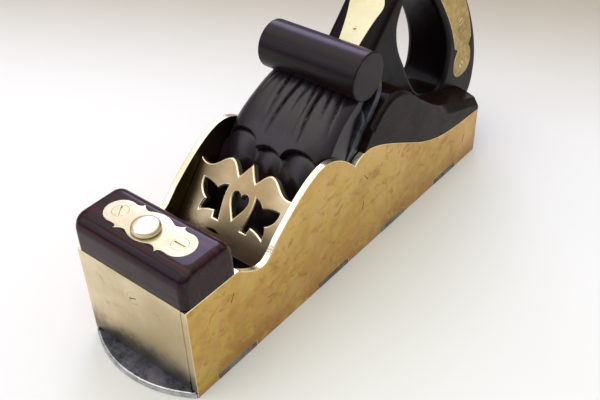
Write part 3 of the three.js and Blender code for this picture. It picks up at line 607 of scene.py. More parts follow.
# ---- outlines that pieces share ----
PINS = ((13.3, 37.4), (82.7, 105.6), (134, 155), (184.5, 205.7))
PIN_FLARE = 0.8
SIDE_SCREWS = {"front": (25.6, 39), "upper": (119.3, 44.4), "lower": (117.4, 28.8), "rear": (212.9, 15.5)}
SIDE_SLOTS = {"front": -0.5, "upper": 0.7, "lower": -0.2, "rear": -0.3}
SIDE_HEAD = 3.1
SIDES = (("right", 1), ("left", -1))
PLATE_SCREW_HEIGHT = 39.7
TOTE_SCREWS = {"upper": (232.3, 72.9, 2.0), "lower": (237, 44.9, 0.7)}
TOTE_HEAD = 2.4
BUN_HEAD = 3.6
NAIL_HEAD = 1.4
NAIL_T = 6
INLAY_SCREW_X = 17.2
INLAY_SCREW_Y = 14.7
BUTTON_Y = 13


def side_top():
    """The top edge of a side, from its tail to the front plate."""
    shape = Outline(BODY_LENGTH, TAIL_HEIGHT)
    shape.curve(205, 29, 190, 27, 166.7, 38.2, 20)  # along the handle
    shape.curve(156, 43.4, 130, 59.2, 121, 59.2, 16)
    shape.curve(117, 59.2, 113, 57.8, 110.7, 55.6, 8)  # cusp behind the wedge
    shape.curve(104, 63, 97, 68.9, 88.5, 68.9, 14)  # crest beside the bridge
    shape.curve(78, 68.9, 63.5, 57, 55.5, 50.3, 14)
    shape.curve(51, 45.7, 48.5, 42.3, 45.3, 42.3, 10)  # scoop
    shape.curve(40, 42.3, 35.5, 46.5, BUN_LENGTH, FRONT_HEIGHT, 10)
    return shape.line(0, FRONT_HEIGHT)


def rear_top():
    """The top of the rear infill, from the bed to its tail."""
    height = 67.5
    shape = Outline(BED_FOOT + height / math.tan(BED_ANGLE), height)
    shape.bend(129.5, 72.6, 133, 75, 6)
    shape.curve(140, 80, 149, 79, 157, 72, 14)  # shoulder behind the wedge
    shape.curve(166, 64, 176, 55, 190.5, 47, 12)
    shape.curve(200, 42, 216, 38.4, BODY_LENGTH, 34, 10)  # tail
    return shape.line(BODY_LENGTH + BOW, 31)


def height_at(points, y):
    """The height of a line of points at y."""
    ordered = sorted(points, key=lambda point: point.x)
    for a, b in zip(ordered, ordered[1:]):
        if a.x <= y <= b.x and b.x > a.x:
            return a.y + (b.y - a.y) * (y - a.x) / (b.x - a.x)
    return ordered[0].y if y < ordered[0].x else ordered[-1].y


SIDE_TOP = side_top().points
REAR_TOP = rear_top().points


# ---- screws ----
def bar(reach, half, place, low, high):
    """The tool that cuts a screw's slot."""
    corners = [Vector((-reach, -half)), Vector((reach, -half)), Vector((reach, half)), Vector((-reach, half))]
    return slab("slot_tool", corners, place, low, high, (0.05, 0.05), 1)


def screw(node, spec, at, out, slot_angle, slot_name, brass_kind):
    """A filed-flush countersunk screw with a worn slot, its axis pointing out of its head."""
    head, countersink, shank, length, slot_width, slot_reach = spec
    turn = Vector((0, 0, 1)).rotation_difference(Vector(out)).to_matrix().to_4x4()
    place = Matrix.Translation(at) @ turn
    profile = [
        (0.05, -length),
        (shank * 0.5, -length + shank),
        (shank, -countersink - 1.5),
        (shank, -countersink),
        (head - 0.08, -0.3),
        (head, -0.16),
        (head, -0.03),
        (head - 0.03, 0),
        (head * 0.6, 0),
        (0.05, 0.01),
    ]
    piece = lathe(node + "_detail", profile, place)
    cut(piece, bar(slot_reach, slot_width / 2, place @ Matrix.Rotation(slot_angle, 4, "Z"), -0.6, 1))
    finish(piece, "stock", slot_name, [brass_kind], node)


# head radius, countersink, shank radius, length, slot width, slot reach
SIDE_SPEC = (SIDE_HEAD, 2.4, 1.9, 15, 0.55, 2.4)
BUN_SPEC = (BUN_HEAD, 2.2, 1.7, 18, 0.8, 3)
TOTE_SPEC = (TOTE_HEAD, 1.6, 1.1, 8, 0.6, 1.7)
NAIL_SPEC = (NAIL_HEAD, 1, 0.8, 9, 0.6, 0.7)


# ---- body ----
def side_outline():
    """A side in profile, with a notch in its lower edge for each pin."""
    shape = Outline(0, 0)
    for start, end in PINS:
        shape.line(start - SEAM, 0).line(start - SEAM, SOLE_THICKNESS + SEAM)
        shape.line(end + SEAM, SOLE_THICKNESS + SEAM).line(end + SEAM, 0)
    shape.line(BODY_LENGTH, 0)
    shape.points += SIDE_TOP
    return shape.closed()


def sides():
    """The two sides and their flush screws. Their finishes: outside, arrises, inside (dark brass that paints
    the shade inside the body) and front end.
    """
    holes = [circle(y, z, SIDE_HEAD + 0.01) for y, z in SIDE_SCREWS.values()]
    for side, sign in SIDES:
        low, high = sorted((sign * INNER, sign * HALF))
        name = f"side_plate_{side}_body"
        plate = slab(name, side_outline(), PROFILE, low, high, (0.35, 0.35), 3, bores=holes)
        for face in plate.data.polygons:
            # inward faces take the dark brass of painted shade
            if face.normal.x * sign < -0.9:
                face.material_index = 2
            elif face.normal.y < -0.7 and face.center.y < 1:
                face.material_index = 3
            elif face.normal.z < -0.7 or face.normal.y > 0.9:
                face.material_index = 0
        finishes = [SIDE_BRASS, EDGE_BRASS, INNER_SHADE_BRASS, FRONT_BRASS]
        finish(plate, "stock", "side_brass", finishes, f"side_plate_{side}")
        for name, (y, z) in SIDE_SCREWS.items():
            node = f"side_screw_{side}_{name}"
            at = (sign * HALF, y, z)
            screw(node, SIDE_SPEC, at, (sign, 0, 0), SIDE_SLOTS[name], "side_screw_brass", SIDE_BRASS)


def front_plate():
    """The front plate, with a chipped lower right corner."""
    half = INNER - SEAM
    base = SOLE_THICKNESS + SEAM
    shape = Outline(-half, base).line(half - 0.9, base).line(half - 0.3, base + 2.6)
    shape.line(half - 1.1, base + 4).line(half - 0.2, base + 5.6).line(half, base + 9)
    shape.line(half, FRONT_HEIGHT).line(-half, FRONT_HEIGHT)
    hole = circle(0, PLATE_SCREW_HEIGHT, SIDE_HEAD + 0.07)
    plate = slab("front_plate_body", shape.closed(), FRONTAL, -SIDE_THICKNESS, 0, (0.1, 0.1), 2, bores=[hole])
    finish(plate, "stock", "front_brass", [FRONT_BRASS, FRONT_BRASS], "front_plate")
    at = (0, 0, PLATE_SCREW_HEIGHT)
    screw("front_plate_screw", SIDE_SPEC, at, (0, -1, 0), 0.4, "side_screw_brass", FRONT_BRASS)


def pinned_edge(shape, sign, pins):
    """One long edge of the sole, with its pins reaching the outer face of the side."""
    inside = sign * (INNER - SEAM)
    outside = sign * (HALF + 0.05)
    ordered = pins if sign > 0 else [(end, start) for start, end in reversed(pins)]
    for start, end in ordered:
        lean = PIN_FLARE if end > start else -PIN_FLARE
        shape.line(inside, start + lean).line(outside, start)
        shape.line(outside, end).line(inside, end - lean)


HORN = 0.5  # how far the filed tips of the toe and heel stay inside the sides' faces


def dull_pins(obj):
    """Gives the long edges of the sole, between toe and heel, the finish of the pins."""
    for face in obj.data.polygons:
        if face.material_index == 1 and 0 < face.center.y < BODY_LENGTH:
            face.material_index = 2


def soles():
    """The two halves of the sole, on either side of the mouth."""
    toe = Outline(0, -BOW)
    toe.arc(0, TOE_CENTRE, BOW_RADIUS, -QUARTER, -QUARTER + HORN_ANGLE, 20)
    toe.line(HALF - HORN, -SEAM).line(INNER - SEAM, -SEAM)
    pinned_edge(toe, 1, PINS[:1])
    toe.line(INNER - SEAM, MOUTH_FRONT).line(SEAM - INNER, MOUTH_FRONT)
    pinned_edge(toe, -1, PINS[:1])
    toe.line(SEAM - INNER, -SEAM).line(HORN - HALF, -SEAM)
    toe.arc(0, TOE_CENTRE, BOW_RADIUS, -QUARTER - HORN_ANGLE, -QUARTER, 20)
    front = slab("sole_front_body", toe.closed(), PLAN, 0, SOLE_THICKNESS, (0.4, 0.9), 4)
    dull_pins(front)
    finish(front, "stock", "sole_steel", [SOLE_STEEL, RIM_STEEL, PIN_STEEL], "sole_front")

    heel = Outline(SEAM - INNER, BED_FOOT).line(INNER - SEAM, BED_FOOT)
    pinned_edge(heel, 1, PINS[1:])
    heel.line(INNER - SEAM, BODY_LENGTH + SEAM).line(HALF - HORN, BODY_LENGTH + SEAM)
    heel.arc(0, HEEL_CENTRE, BOW_RADIUS, QUARTER - HORN_ANGLE, QUARTER + HORN_ANGLE, 32)
    heel.line(HORN - HALF, BODY_LENGTH + SEAM).line(SEAM - INNER, BODY_LENGTH + SEAM)
    pinned_edge(heel, -1, PINS[1:])
    rear = slab("sole_rear_body", heel.closed(), PLAN, 0, SOLE_THICKNESS, (0.4, 0.6), 3)
    for vertex in rear.data.vertices:
        if vertex.co.y < BED_FOOT + 1:
            vertex.co.y += vertex.co.z / math.tan(BED_ANGLE)
    dull_pins(rear)
    finish(rear, "stock", "sole_steel", [SOLE_STEEL, RIM_STEEL, PIN_STEEL], "sole_rear")


# ---- front infill ----
def bun_sections():
    """The head of the front infill, with soft front and rear arrises and crisper ends."""
    corner = 3.5
    shoulder = 60.5  # where the top starts to round over
    steps = 14
    sections = []
    for z, pinch in ((FRONT_HEIGHT + SEAM, 0.5), (FRONT_HEIGHT + 0.5, 0.06), (54, 0), (58, 0)):
        waist = 0.6 * math.sin(math.pi * (z - FRONT_HEIGHT) / 11)
        sections.append((z, pinch, pinch + waist, pinch))
    for i in range(steps + 1):
        angle = QUARTER * i / steps
        z = shoulder + (BUN_TOP - shoulder) * math.sin(angle)
        drop = max(0, (z - BUN_TOP + corner) / corner)
        ends = corner * (1 - math.sqrt(max(0, 1 - drop * drop)))
        sections.append((z, 7 * (1 - math.cos(angle)), 0.9 + 6 * (1 - math.cos(angle)), ends))
    return [
        [
            (p.x, p.y, z)
            for p in rounded_rectangle(-HALF + ends, front, HALF - ends, BUN_LENGTH - rear, corner, 8)
        ]
        for z, front, rear, ends in sections
    ]


def bun_inlay_outline():
    """Two round lobes and a middle boss, with cusps between them."""
    x, y = INLAY_SCREW_X, INLAY_SCREW_Y
    lobe = 7.3
    shape = Outline(0, y - 9.1).bend(3.6, y - 9.1, 7.2, y - 7, 4)
    shape.bend(9.5, y - 6.6, 12, y - 9.2, 5).bend(11.5, y - 6.4, x, y - lobe, 6)
    shape.arc(x, y, lobe, -QUARTER, QUARTER, 24)
    shape.bend(11.5, y + 6.4, 12, y + 9.2, 6).bend(9.5, y + 6.6, 7.2, y + 7, 5)
    return mirrored(shape.bend(3.6, y + 9.1, 0, y + 9.1, 4))


def front_infill():
    """The front infill: a head with a pocket for the inlay, and a foot between the sides."""
    sections = bun_sections()
    body = Body()
    rings = [body.ring(section) for section in sections]
    body.skin(rings)
    body.fill([rings[0]])
    opening = inset(bun_inlay_outline(), -0.12)
    rim = body.pocket(opening, BUN_TOP, BUN_TOP - INLAY_THICKNESS)
    body.fill([rings[-1], rim])
    head = body.mesh("front_infill_head")
    finish(head, "stock", "front_rosewood", [BUN_WOOD], "front_infill")

    front, base = SIDE_THICKNESS + SEAM, SOLE_THICKNESS + SEAM
    foot = Outline(front, base).line(MOUTH_FRONT - 4, base)
    foot.curve(52, 4.5, 40, 12, 36, 22).curve(33, 30, 31, 36, BUN_LENGTH - 0.5, FRONT_HEIGHT)
    foot.line(front, FRONT_HEIGHT)
    block = slab("front_infill_foot", foot.closed(), PROFILE, -STUFFING, STUFFING, (0.3, 0.3), 2)
    finish(block, "stock", "front_rosewood", [BUN_WOOD, BUN_WOOD], "front_infill")


def front_fittings():
    """The front inlay, its two screws and the strike button."""
    holes = [circle(sign * INLAY_SCREW_X, INLAY_SCREW_Y, BUN_HEAD + 0.13) for sign in (1, -1)]
    top = BUN_TOP + PROUD
    plate = slab("front_inlay_body", bun_inlay_outline(), PLAN, BUN_TOP - INLAY_THICKNESS, top,
                 (0.05, 0.22), 3, bores=holes)
    finish(plate, "stock", "inlay_brass", [INLAY_BRASS, PALE_BRASS], "front_inlay_plate")
    for side, sign, angle in (("right", 1, 0.0), ("left", -1, 2.2)):
        node = f"front_inlay_screw_{side}"
        at = (sign * INLAY_SCREW_X, INLAY_SCREW_Y, top)
        screw(node, BUN_SPEC, at, (0, 0, 1), angle, "inlay_screw_brass", DULL_SCREW_BRASS)
    crown = BUN_TOP + 3.5
    profile = [(0.05, BUN_TOP - 12), (3, BUN_TOP - 12), (3, top), (5.2, top + 0.02), (6.1, top + 0.3)]
    turns = (0, 0.3, 0.6, 0.9, 1.2, 1.45)
    rim = [(6.4 - 1.6 * (1 - math.cos(a)), top + 1 + 2 * math.sin(a)) for a in turns]
    dome = [(radius, crown - 0.012 * radius * radius) for radius in (4.4, 3.2, 2.2, 1.2, 0.05)]
    button = lathe("strike_button_body", profile + rim + dome, Matrix.Translation((0, BUTTON_Y, 0)), 64)
    finish(button, "stock", "button_brass", [BUTTON_BRASS], "strike_button")


# ---- bridge ----
BRIDGE_FOOT = 12
LUG_LOW, LUG_HIGH = 18, 44
LUG_INSIDE = 24.6


def bridge_outline():
    """A peak in the middle, a hollow and a round crest on each side, and low ends."""
    shape = Outline(STUFFING, BRIDGE_FOOT).line(STUFFING, 47.2)
    shape.curve(24, 44.4, 20.5, 46, 17.5, 49).curve(15.5, 51, 13.5, 52.6, 11.5, 52.4)
    return mirrored(shape.curve(8.5, 52, 7, 48.6, 4.9, 46.4).curve(3.6, 47.6, 1.6, 51.4, 0, 53.9, 8))


def heart():
    shape = Outline(0.4, 27.2).curve(-1.8, 31, -4, 33.5, -4.2, 36.6, 10)
    shape.curve(-4.2, 40.4, -0.4, 40.2, 0.4, 37.2, 10).curve(1.2, 40.2, 5, 40.4, 5, 36.6, 10)
    return shape.curve(4.8, 33.5, 2.6, 31, 0.4, 27.2, 10).closed()


def flower(sign):
    """A three-petalled flower on a stem, leaning outwards."""
    shape = Outline(sign * 7, 24).line(sign * 10, 24).line(sign * 10.6, 27.4)
    shape.bend(sign * 14.5, 27.4, sign * 18.6, 25).bend(sign * 18.8, 28.6, sign * 17, 30.6)
    shape.bend(sign * 22.4, 33, sign * 22.4, 38.8).bend(sign * 16.5, 38.8, sign * 13.2, 36.8)
    shape.bend(sign * 11.6, 39.6, sign * 8.4, 40.2).bend(sign * 9.6, 34.6, sign * 7, 24)
    return shape.closed()


def bridge():
    """The pierced bridge, with a lug at each end that holds the wedge down."""
    crescent = Outline(-11.3, 18.2).bend(-7, 20.4, -2.9, 18).bend(-7, 17.2, -11.3, 18.2).closed()
    back = BRIDGE_FACE - BRIDGE_THICKNESS
    plate = slab("bridge_body", bridge_outline(), BED_PLAN, back, BRIDGE_FACE, (0.2, 0.8), 5,
                 [heart(), flower(1), flower(-1)], [crescent])
    finish(plate, "stock", "bridge_brass", [BRIDGE_BRASS, EDGE_BRASS], "bridge")
    for side, sign in SIDES:
        lug = Outline(LUG_LOW, back + 0.5).line(LUG_LOW, 17.2)
        lug.line(LUG_HIGH, 21.9).line(LUG_HIGH, back + 0.5)
        low, high = sorted((sign * LUG_INSIDE, sign * STUFFING))
        piece = slab(f"bridge_lug_{side}", lug.closed(), BED_PROFILE, low, high, (0.3, 0.3), 2)
        finish(piece, "stock", "bridge_brass", [BRIDGE_BRASS, BRIDGE_BRASS], "bridge")


# ---- irons ----
IRON_BEVEL = math.radians(28)
EDGE_CLEARANCE = 0.3  # the cutting edge stays this far above the ground


def plane_iron():
    """The cutting iron: round-topped, slotted, and ground to an edge at its lower end."""
    half = IRON_WIDTH / 2
    top = 122
    slot_half = 5.6
    shape = Outline(-half, -4).line(half, -4).line(half, 101)
    shape.curve(half, 114, 16, top, 0, top, 20).curve(-16, top, -half, 114, -half, 101, 20)
    slot = Outline(slot_half, 30).line(slot_half, 90).arc(0, 90, slot_half, 0, math.pi)
    slot.line(-slot_half, 30).arc(0, 30, slot_half, math.pi, math.tau)
    iron = slab("plane_iron_blade", shape.closed(), PLAN, GAP, IRON_FACE, (0.3, 0.45), 3, [slot.closed()])
    edge = (EDGE_CLEARANCE - IRON_FACE * COS_BED) / SIN_BED
    for vertex in iron.data.vertices:
        ground = edge + (IRON_FACE - vertex.co.z) / math.tan(IRON_BEVEL)
        vertex.co.y = max(vertex.co.y, ground)
    iron.data.transform(BED_PLAN)
    finish(iron, "iron", "iron_steel", [IRON_STEEL, IRON_STEEL], "plane_iron")


SCREW_S = 38
SCREW_HEAD = 9
SCREW_SHANK = 4


def cap_iron():
    """A long plate with a sprung lip at its lower end and rounded upper corners."""
    half = IRON_WIDTH / 2
    top = 96.5
    corner = 8
    nose = -1.2
    hump = 19.2  # length of the sprung stretch
    soft = 0.3
    stations = [nose + hump * i / 24 for i in range(25)] + [30, 60, top - corner]
    stations += [top - corner + corner * math.sin(QUARTER * i / 10) for i in range(1, 11)]
    sections = []
    for s in stations:
        lift = 2.3 * math.sin(math.pi * min(max((s - nose) / hump, 0), 1)) ** 0.8
        back = CAP_BACK + (lift if s > 0.8 else 0)
        if s > 3:
            face = CAP_FACE + lift * 0.9
        else:
            face = CAP_BACK + 0.6 + (CAP_IRON_THICKNESS + 1.4) * (s - nose) / 4.2
        over = max(0, s - (top - corner))
        width = half - corner + math.sqrt(max(corner * corner - over * over, 0.01))
        right = [(width - soft, back), (width, back + soft), (width, face - soft), (width - soft, face)]
        left = [(-x, n) for x, n in reversed(right)]
        sections.append([(x, s, n) for x, n in right + left])
    plate = loft("cap_iron_plate", sections, BED_PLAN)
    bore = circle(0, SCREW_S, SCREW_SHANK + SEAM)
    cut(plate, slab("hole_tool", bore, BED_PLAN, 0, 20, (0.05, 0.05), 1))
    finish(plate, "cap_iron", "iron_steel", [IRON_STEEL, IRON_STEEL], "cap_iron")


def cap_iron_screw():
    """The screw that clamps the cap iron: a wide slotted head under the iron and a short shank."""
    head, shank = SCREW_HEAD, SCREW_SHANK
    profile = [(0.05, -3.6), (head - 1.4, -3.6), (head - 0.4, -3.3), (head, -2.7), (head, -0.3)]
    profile += [(head - 0.2, 0), (shank, 0), (shank, 6.3), (shank - 0.4, 6.7), (0.05, 6.7)]
    place = BED_PLAN @ Matrix.Translation((0, SCREW_S, 0))
    piece = lathe("cap_iron_screw_body", profile, place, 64)
    cut(piece, bar(14, 0.8, place, -5, -2.4))
    finish(piece, "cap_iron_screw", "screw_steel", [SCREW_STEEL], "cap_iron_screw")


# ---- wedge ----
WEDGE_HALF = 28.1
WEDGE_FOOT = 22.5
WEDGE_TOP = 99
SWELL_S = 66
SWELL_N = 27.2
ARCH = 16.4  # middle of each round arch of the carved edge
CARVED = 60.2  # how far up the bed the arches spring from
LIP_LOW, LIP_HIGH = 0.25, 0.7  # how far the carved lip reaches below and above its edge
WIDTHS = [Vector(point) for point in ((70, WEDGE_HALF), (84, 26.4), (110, 24.4))]
FLUTE_TOP = 97
# Each flute runs from under the roll (x_top) to its own end (x_low, s_low), and is that deep.
FLUTES = (
    (-19.5, -20.8, 86, 0.7),
    (-11.0, -10.0, 82, 1.5),
    (-3.6, -5.2, 75, 2.0),
    (1.8, 1.4, 84, 0.9),
    (6.4, 7.6, 85, 1.3),
    (10.6, 11.8, 75, 2.0),
    (16.2, 18.0, 84, 1.2),
    (21.6, 24.0, 81, 1.3),
)


def carved_edge(x):
    """Distance up the bed of the carved edge: two round arches, a low middle one and short ends."""
    across = abs(x)
    if across < 7.4:
        return CARVED + 2.8 * (1 - (across / 7.4) ** 2)
    if across < 25.5:
        return CARVED + 6.6 * math.sqrt(max(0, 1 - ((across - ARCH) / 9.2) ** 2))
    return 61.2 - 1.2 * (across - 25.5)


def tongue_surface(x, s):
    """The wedge's front below the carved edge: flat, with a groove and two domed lobes."""
    below = carved_edge(x) - s
    dome = max(0, 1 - (((abs(x) - ARCH) / 8.6) ** 2 + ((s - 55) / 11.5) ** 2))
    middle = max(0, 1 - ((x / 6.5) ** 2 + ((s - 55) / 7) ** 2))
    groove = 1.1 * math.exp(-((below / 1.3) ** 2))
    return 23.4 + 0.18 * (s - 60) + 1.7 * dome + 0.9 * middle - groove


def swell_surface(x, s):
    """The wedge's front above the carved edge: a swell that dips to the roll, with flutes."""
    fall = 0.0095 if s > SWELL_S else 0.006
    level = SWELL_N - fall * (s - SWELL_S) ** 2 - 7 * (abs(x) / WEDGE_HALF) ** 6
    for x_top, x_low, s_low, depth in FLUTES:
        run = (s - s_low) / (FLUTE_TOP - s_low)
        if run > -0.4:
            middle = x_low + (x_top - x_low) * run
            strength = min(1, max(0, (run + 0.4) / 0.9)) ** 1.3
            away = abs(x - middle)
            level -= strength * depth * math.exp(-away / 0.5)
            level += strength * depth * 0.14 * math.exp(-((away - 2.2) / 1.3) ** 2)
    return level


def half_width(s):
    """Half the wedge's width at a distance up the bed."""
    return height_at(WIDTHS, s)


def wedge():
    """A grid of rows that follow the carved edge, closed by a flat back."""
    columns = 150
    rows = [("tongue", i / 26) for i in range(26)]
    rows += [("lip", i / 7) for i in range(8)]
    rows += [("swell", i / 46) for i in range(1, 47)]
    body = Body()
    grid = []
    for kind, v in rows:
        row = []
        for i in range(columns + 1):
            across = -1 + 2 * i / columns
            x = across * WEDGE_HALF
            edge = carved_edge(x)
            if kind == "tongue":
                s = WEDGE_FOOT + v * (edge - LIP_LOW - WEDGE_FOOT)
                n = tongue_surface(x, s)
            elif kind == "lip":
                low, high = tongue_surface(x, edge - LIP_LOW), swell_surface(x, edge + LIP_HIGH)
                s = edge - LIP_LOW + (LIP_LOW + LIP_HIGH) * (1 - math.cos(v * QUARTER))
                n = low + (high - low) * math.sin(v * QUARTER)
            else:
                s = edge + LIP_HIGH + v * (WEDGE_TOP - edge - LIP_HIGH)
                n = swell_surface(x, s)
            row.append(body.bm.verts.new((across * half_width(s), s, n)))
        grid.append(row)
    back = [[body.bm.verts.new((c.co.x, c.co.y, WEDGE_BACK)) for c in row] for row in grid]
    for j in range(len(grid) - 1):
        for i in range(columns):
            body.face([grid[j][i], grid[j][i + 1], grid[j + 1][i + 1], grid[j + 1][i]], 0)
            body.face([back[j][i], back[j + 1][i], back[j + 1][i + 1], back[j][i + 1]], 0)
        for i in (0, columns):
            body.face([grid[j][i], back[j][i], back[j + 1][i], grid[j + 1][i]], 0)
    for j in (0, len(grid) - 1):
        for i in range(columns):
            body.face([grid[j][i], grid[j][i + 1], back[j][i + 1], back[j][i]], 0)
    finish(body.mesh("wedge_block", BED_PLAN), "wedge", "wedge_rosewood", [WEDGE_WOOD], "wedge")


def roll():
    """The grip across the top of the wedge, with softly rounded ends."""
    half = ROLL_LENGTH / 2
    soft = 0.8
    turns = (0, 0.4, 0.8, 1.2, 1.57)
    rim = [(ROLL_RADIUS - soft * (1 - math.cos(a)), half - soft * (1 - math.sin(a))) for a in turns]
    end = rim + [(8, half), (4, half), (0.05, half)]
    body = [(ROLL_RADIUS, half - 4), (ROLL_RADIUS, half - 12), (ROLL_RADIUS, 0)]
    upper = list(reversed(body)) + end
    profile = [(radius, -height) for radius, height in reversed(upper[1:])] + upper
    place = BED_PLAN @ basis((0, 1, 0), (0, 0, 1), (1, 0, 0), (0, ROLL_S, ROLL_N))
    finish(lathe("wedge_roll", profile, place, 96), "wedge", "wedge_rosewood", [ROLL_WOOD], "wedge")


# ---- rear infill and handle ----
def screw_groove():
    """The tool that cuts the groove where the cap-iron screw's head runs."""
    half = SCREW_HEAD + 1.5
    outline = rounded_rectangle(-half, 26, half, 97.5, 9)
    return slab("groove_tool", outline, BED_PLAN, -5, 2, (0.05, 0.05), 1)


def smooth(value, low, high):
    """Eases from 0 at low to 1 at high."""
    t = min(1, max(0, (value - low) / (high - low)))
    return t * t * (3 - 2 * t)


CHAMFER = (184, 194)  # where the rounded top arris turns into a bevel


def rear_section(y):
    """One upright section of the rear infill: wide above the sides, narrow between them."""
    bed = (y - BED_FOOT) * math.tan(BED_ANGLE)
    top = min(height_at(REAR_TOP, y), bed)
    on_bed = bed <= height_at(REAR_TOP, y)
    shelf = height_at(SIDE_TOP, y) + SEAM
    bow = math.sqrt(max(BOW_RADIUS**2 - max(0, y - HEEL_CENTRE) ** 2, 1e-4))
    base = SOLE_THICKNESS + SEAM
    if y > BODY_LENGTH + SEAM:
        wide = narrow = min(HALF, bow)
        shelf = (base + top) / 2
    else:
        narrow = INNER - SEAM
        wide = HALF if top > shelf + 0.4 else narrow
    shelf = min(shelf, top - 0.2)
    if on_bed:
        edge = min(0.5, (top - shelf) * 0.5)
    else:
        edge = min(3.0, (top - shelf) * 0.8, wide * 0.9)
    chamfer = smooth(y, *CHAMFER)
    drop = min(edge + 1.5 * chamfer, (top - shelf) * 0.9)
    right = [(narrow, base), (narrow, shelf), (wide, shelf)]
    steps = 8
    for i in range(steps + 1):
        angle = QUARTER * i / steps
        share = i / steps
        round_x, round_z = math.cos(angle), math.sin(angle)
        x = wide - edge + edge * (round_x * (1 - chamfer) + (1 - share) * chamfer)
        z = top - drop + drop * (round_z * (1 - chamfer) + share * chamfer)
        right.append((x, z))
    left = [(-x, z) for x, z in reversed(right)]
    return [(x, y, z) for x, z in right + left]


def rear_infill():
    """The rear infill, lofted from close sections, with the groove for the screw."""
    start = BED_FOOT + (SOLE_THICKNESS + 1) / math.tan(BED_ANGLE)
    crossing = next(y for y in (start + 0.05 * i for i in range(4000))
                    if (y - BED_FOOT) * math.tan(BED_ANGLE) > height_at(SIDE_TOP, y) + 0.5)
    stations = [start, 85, 100, 110, crossing - 0.02, crossing + 0.02]
    stations += [crossing + 0.5 + 1.0 * i for i in range(1, 125) if crossing + 0.5 + i < BODY_LENGTH]
    stations += [BODY_LENGTH, BODY_LENGTH + 0.1]
    stations += [BODY_LENGTH + BOW * math.sin(QUARTER * i / 14) - 0.02 for i in range(1, 15)]
    stations = sorted(stations)
    sections = [rear_section(y) for y in stations]
    block = loft("rear_infill_body", sections)
    cut(block, screw_groove())
    finish(block, "stock", "rear_rosewood", [REAR_WOOD, REAR_WOOD], "rear_infill")


def face_point(t):
    """The point that lies t up the sloping front of the handle."""
    return FACE_Y + LEAN * t, FACE_Z + LEAN * t


def tote_outline():
    """The handle in profile. Its foot is let into the infill."""
    top = 134
    foot = -8

    def bed(s, n):
        return BED_FOOT + s * COS_BED - n * SIN_BED, s * SIN_BED + n * COS_BED

    shape = Outline(*bed(38, foot)).line(*bed(88, foot)).line(*bed(89, -GAP)).line(*bed(101.5, -GAP))
    shape.line(*face_point(33))
    shape.curve(180, 124, 187, top, 198, top, 16).curve(211, top, 219, 116, 228, 99, 18)
    shape.curve(241, 84, 257, 54, 254.5, 34, 20)  # back of the grip
    shape.curve(254, 25, 251, 17.5, 243, 16.5, 12).bend(239, 16, 236, 16.5, 4)
    return shape.line(206, 25.3).closed()


def finger_hole():
    """The opening of the handle: a slanting loop, widest at the foot of the grip."""
    shape = Outline(171.2, 94).curve(171.2, 84, 175, 78, 180, 69, 12)
    shape.curve(186, 58, 190, 49, 198, 45, 12).curve(205, 41.5, 210, 39.5, 214, 39.5, 10)
    shape.curve(219, 39.5, 221.5, 47, 221.5, 56, 12).curve(221.5, 70, 211, 86, 202.5, 97, 14)
    shape.curve(196, 108, 196, 118, 189, 118, 12)
    return shape.curve(184, 118, 171.2, 102, 171.2, 94, 14).closed()


def side_inlay_outline():
    """A round head and a long leaf above it, with a notch on each side where they meet."""
    shape = Outline(228.5, 57.5).line(232.1, 55.5)
    shape.curve(227.6, 51, 226.5, 37.2, 238, 37.2, 16).curve(249, 37.2, 249, 48, 243.7, 54.6, 14)
    shape.line(245.6, 59.3).curve(242, 75, 232, 92, 222, 103, 16)
    shape.curve(216, 110, 208, 118, 203, 116, 12)
    shape.curve(198, 114, 203, 104, 207, 97.5, 12)
    return shape.curve(213, 88, 224, 75, 228.5, 57.5, 14).closed()


def front_inlay_outline():
    """Widens upwards from the bed, and ends in a point."""
    shape = Outline(0, -10).bend(2.5, -10, 5, -8, 4).curve(6.4, 2, 7, 10, 9.2, 17)
    return mirrored(shape.curve(10.4, 21, 8, 24, 5.5, 26.5).bend(2, 29.2, 0, 31.5, 5))


def tote():
    """The handle, its inlays, their screws and the nail of the front inlay."""
    recess = inset(side_inlay_outline(), -0.1)
    recesses = [(True, recess, INLAY_THICKNESS), (False, recess, INLAY_THICKNESS)]
    handle = slab("tote_handle", tote_outline(), PROFILE, -HALF_TOTE, HALF_TOTE, (3.4, 3.4), 7,
                  [finger_hole()], recesses=recesses)
    cut(handle, screw_groove())
    finish(handle, "stock", "tote_rosewood", [TOTE_WOOD, TOTE_WOOD], "tote")
    holes = [circle(y, z, TOTE_HEAD + 0.12) for y, z, _ in TOTE_SCREWS.values()]
    for side, sign in SIDES:
        low, high = sorted((sign * (HALF_TOTE - INLAY_THICKNESS), sign * (HALF_TOTE + PROUD)))
        rounding = (0.02, 0.3) if sign > 0 else (0.3, 0.02)
        name = f"tote_side_inlay_{side}_body"
        inlay = slab(name, side_inlay_outline(), PROFILE, low, high, rounding, 3, bores=holes)
        finish(inlay, "stock", "tote_inlay_brass", [OLIVE_BRASS, PALE_BRASS], f"tote_side_inlay_{side}")
        for name, (y, z, angle) in TOTE_SCREWS.items():
            node = f"tote_screw_{side}_{name}"
            at = (sign * (HALF_TOTE + PROUD), y, z)
            screw(node, TOTE_SPEC, at, (sign, 0, 0), angle, "inlay_screw_brass", DULL_SCREW_BRASS)
    hole = circle(0, NAIL_T, NAIL_HEAD + 0.03, 24)
    plate = slab("tote_front_inlay_body", front_inlay_outline(), TOTE_FRONT, -INLAY_THICKNESS, PROUD + 0.1,
                 (0.02, 0.25), 3, bores=[hole])
    finish(plate, "stock", "inlay_brass", [PALE_BRASS, PALE_BRASS], "tote_front_inlay")
    at = TOTE_FRONT @ Vector((0, NAIL_T, PROUD + 0.1))
    out = (0, -LEAN, LEAN)
    screw("tote_front_nail", NAIL_SPEC, at, out, 0.4, "inlay_screw_brass", DULL_SCREW_BRASS)


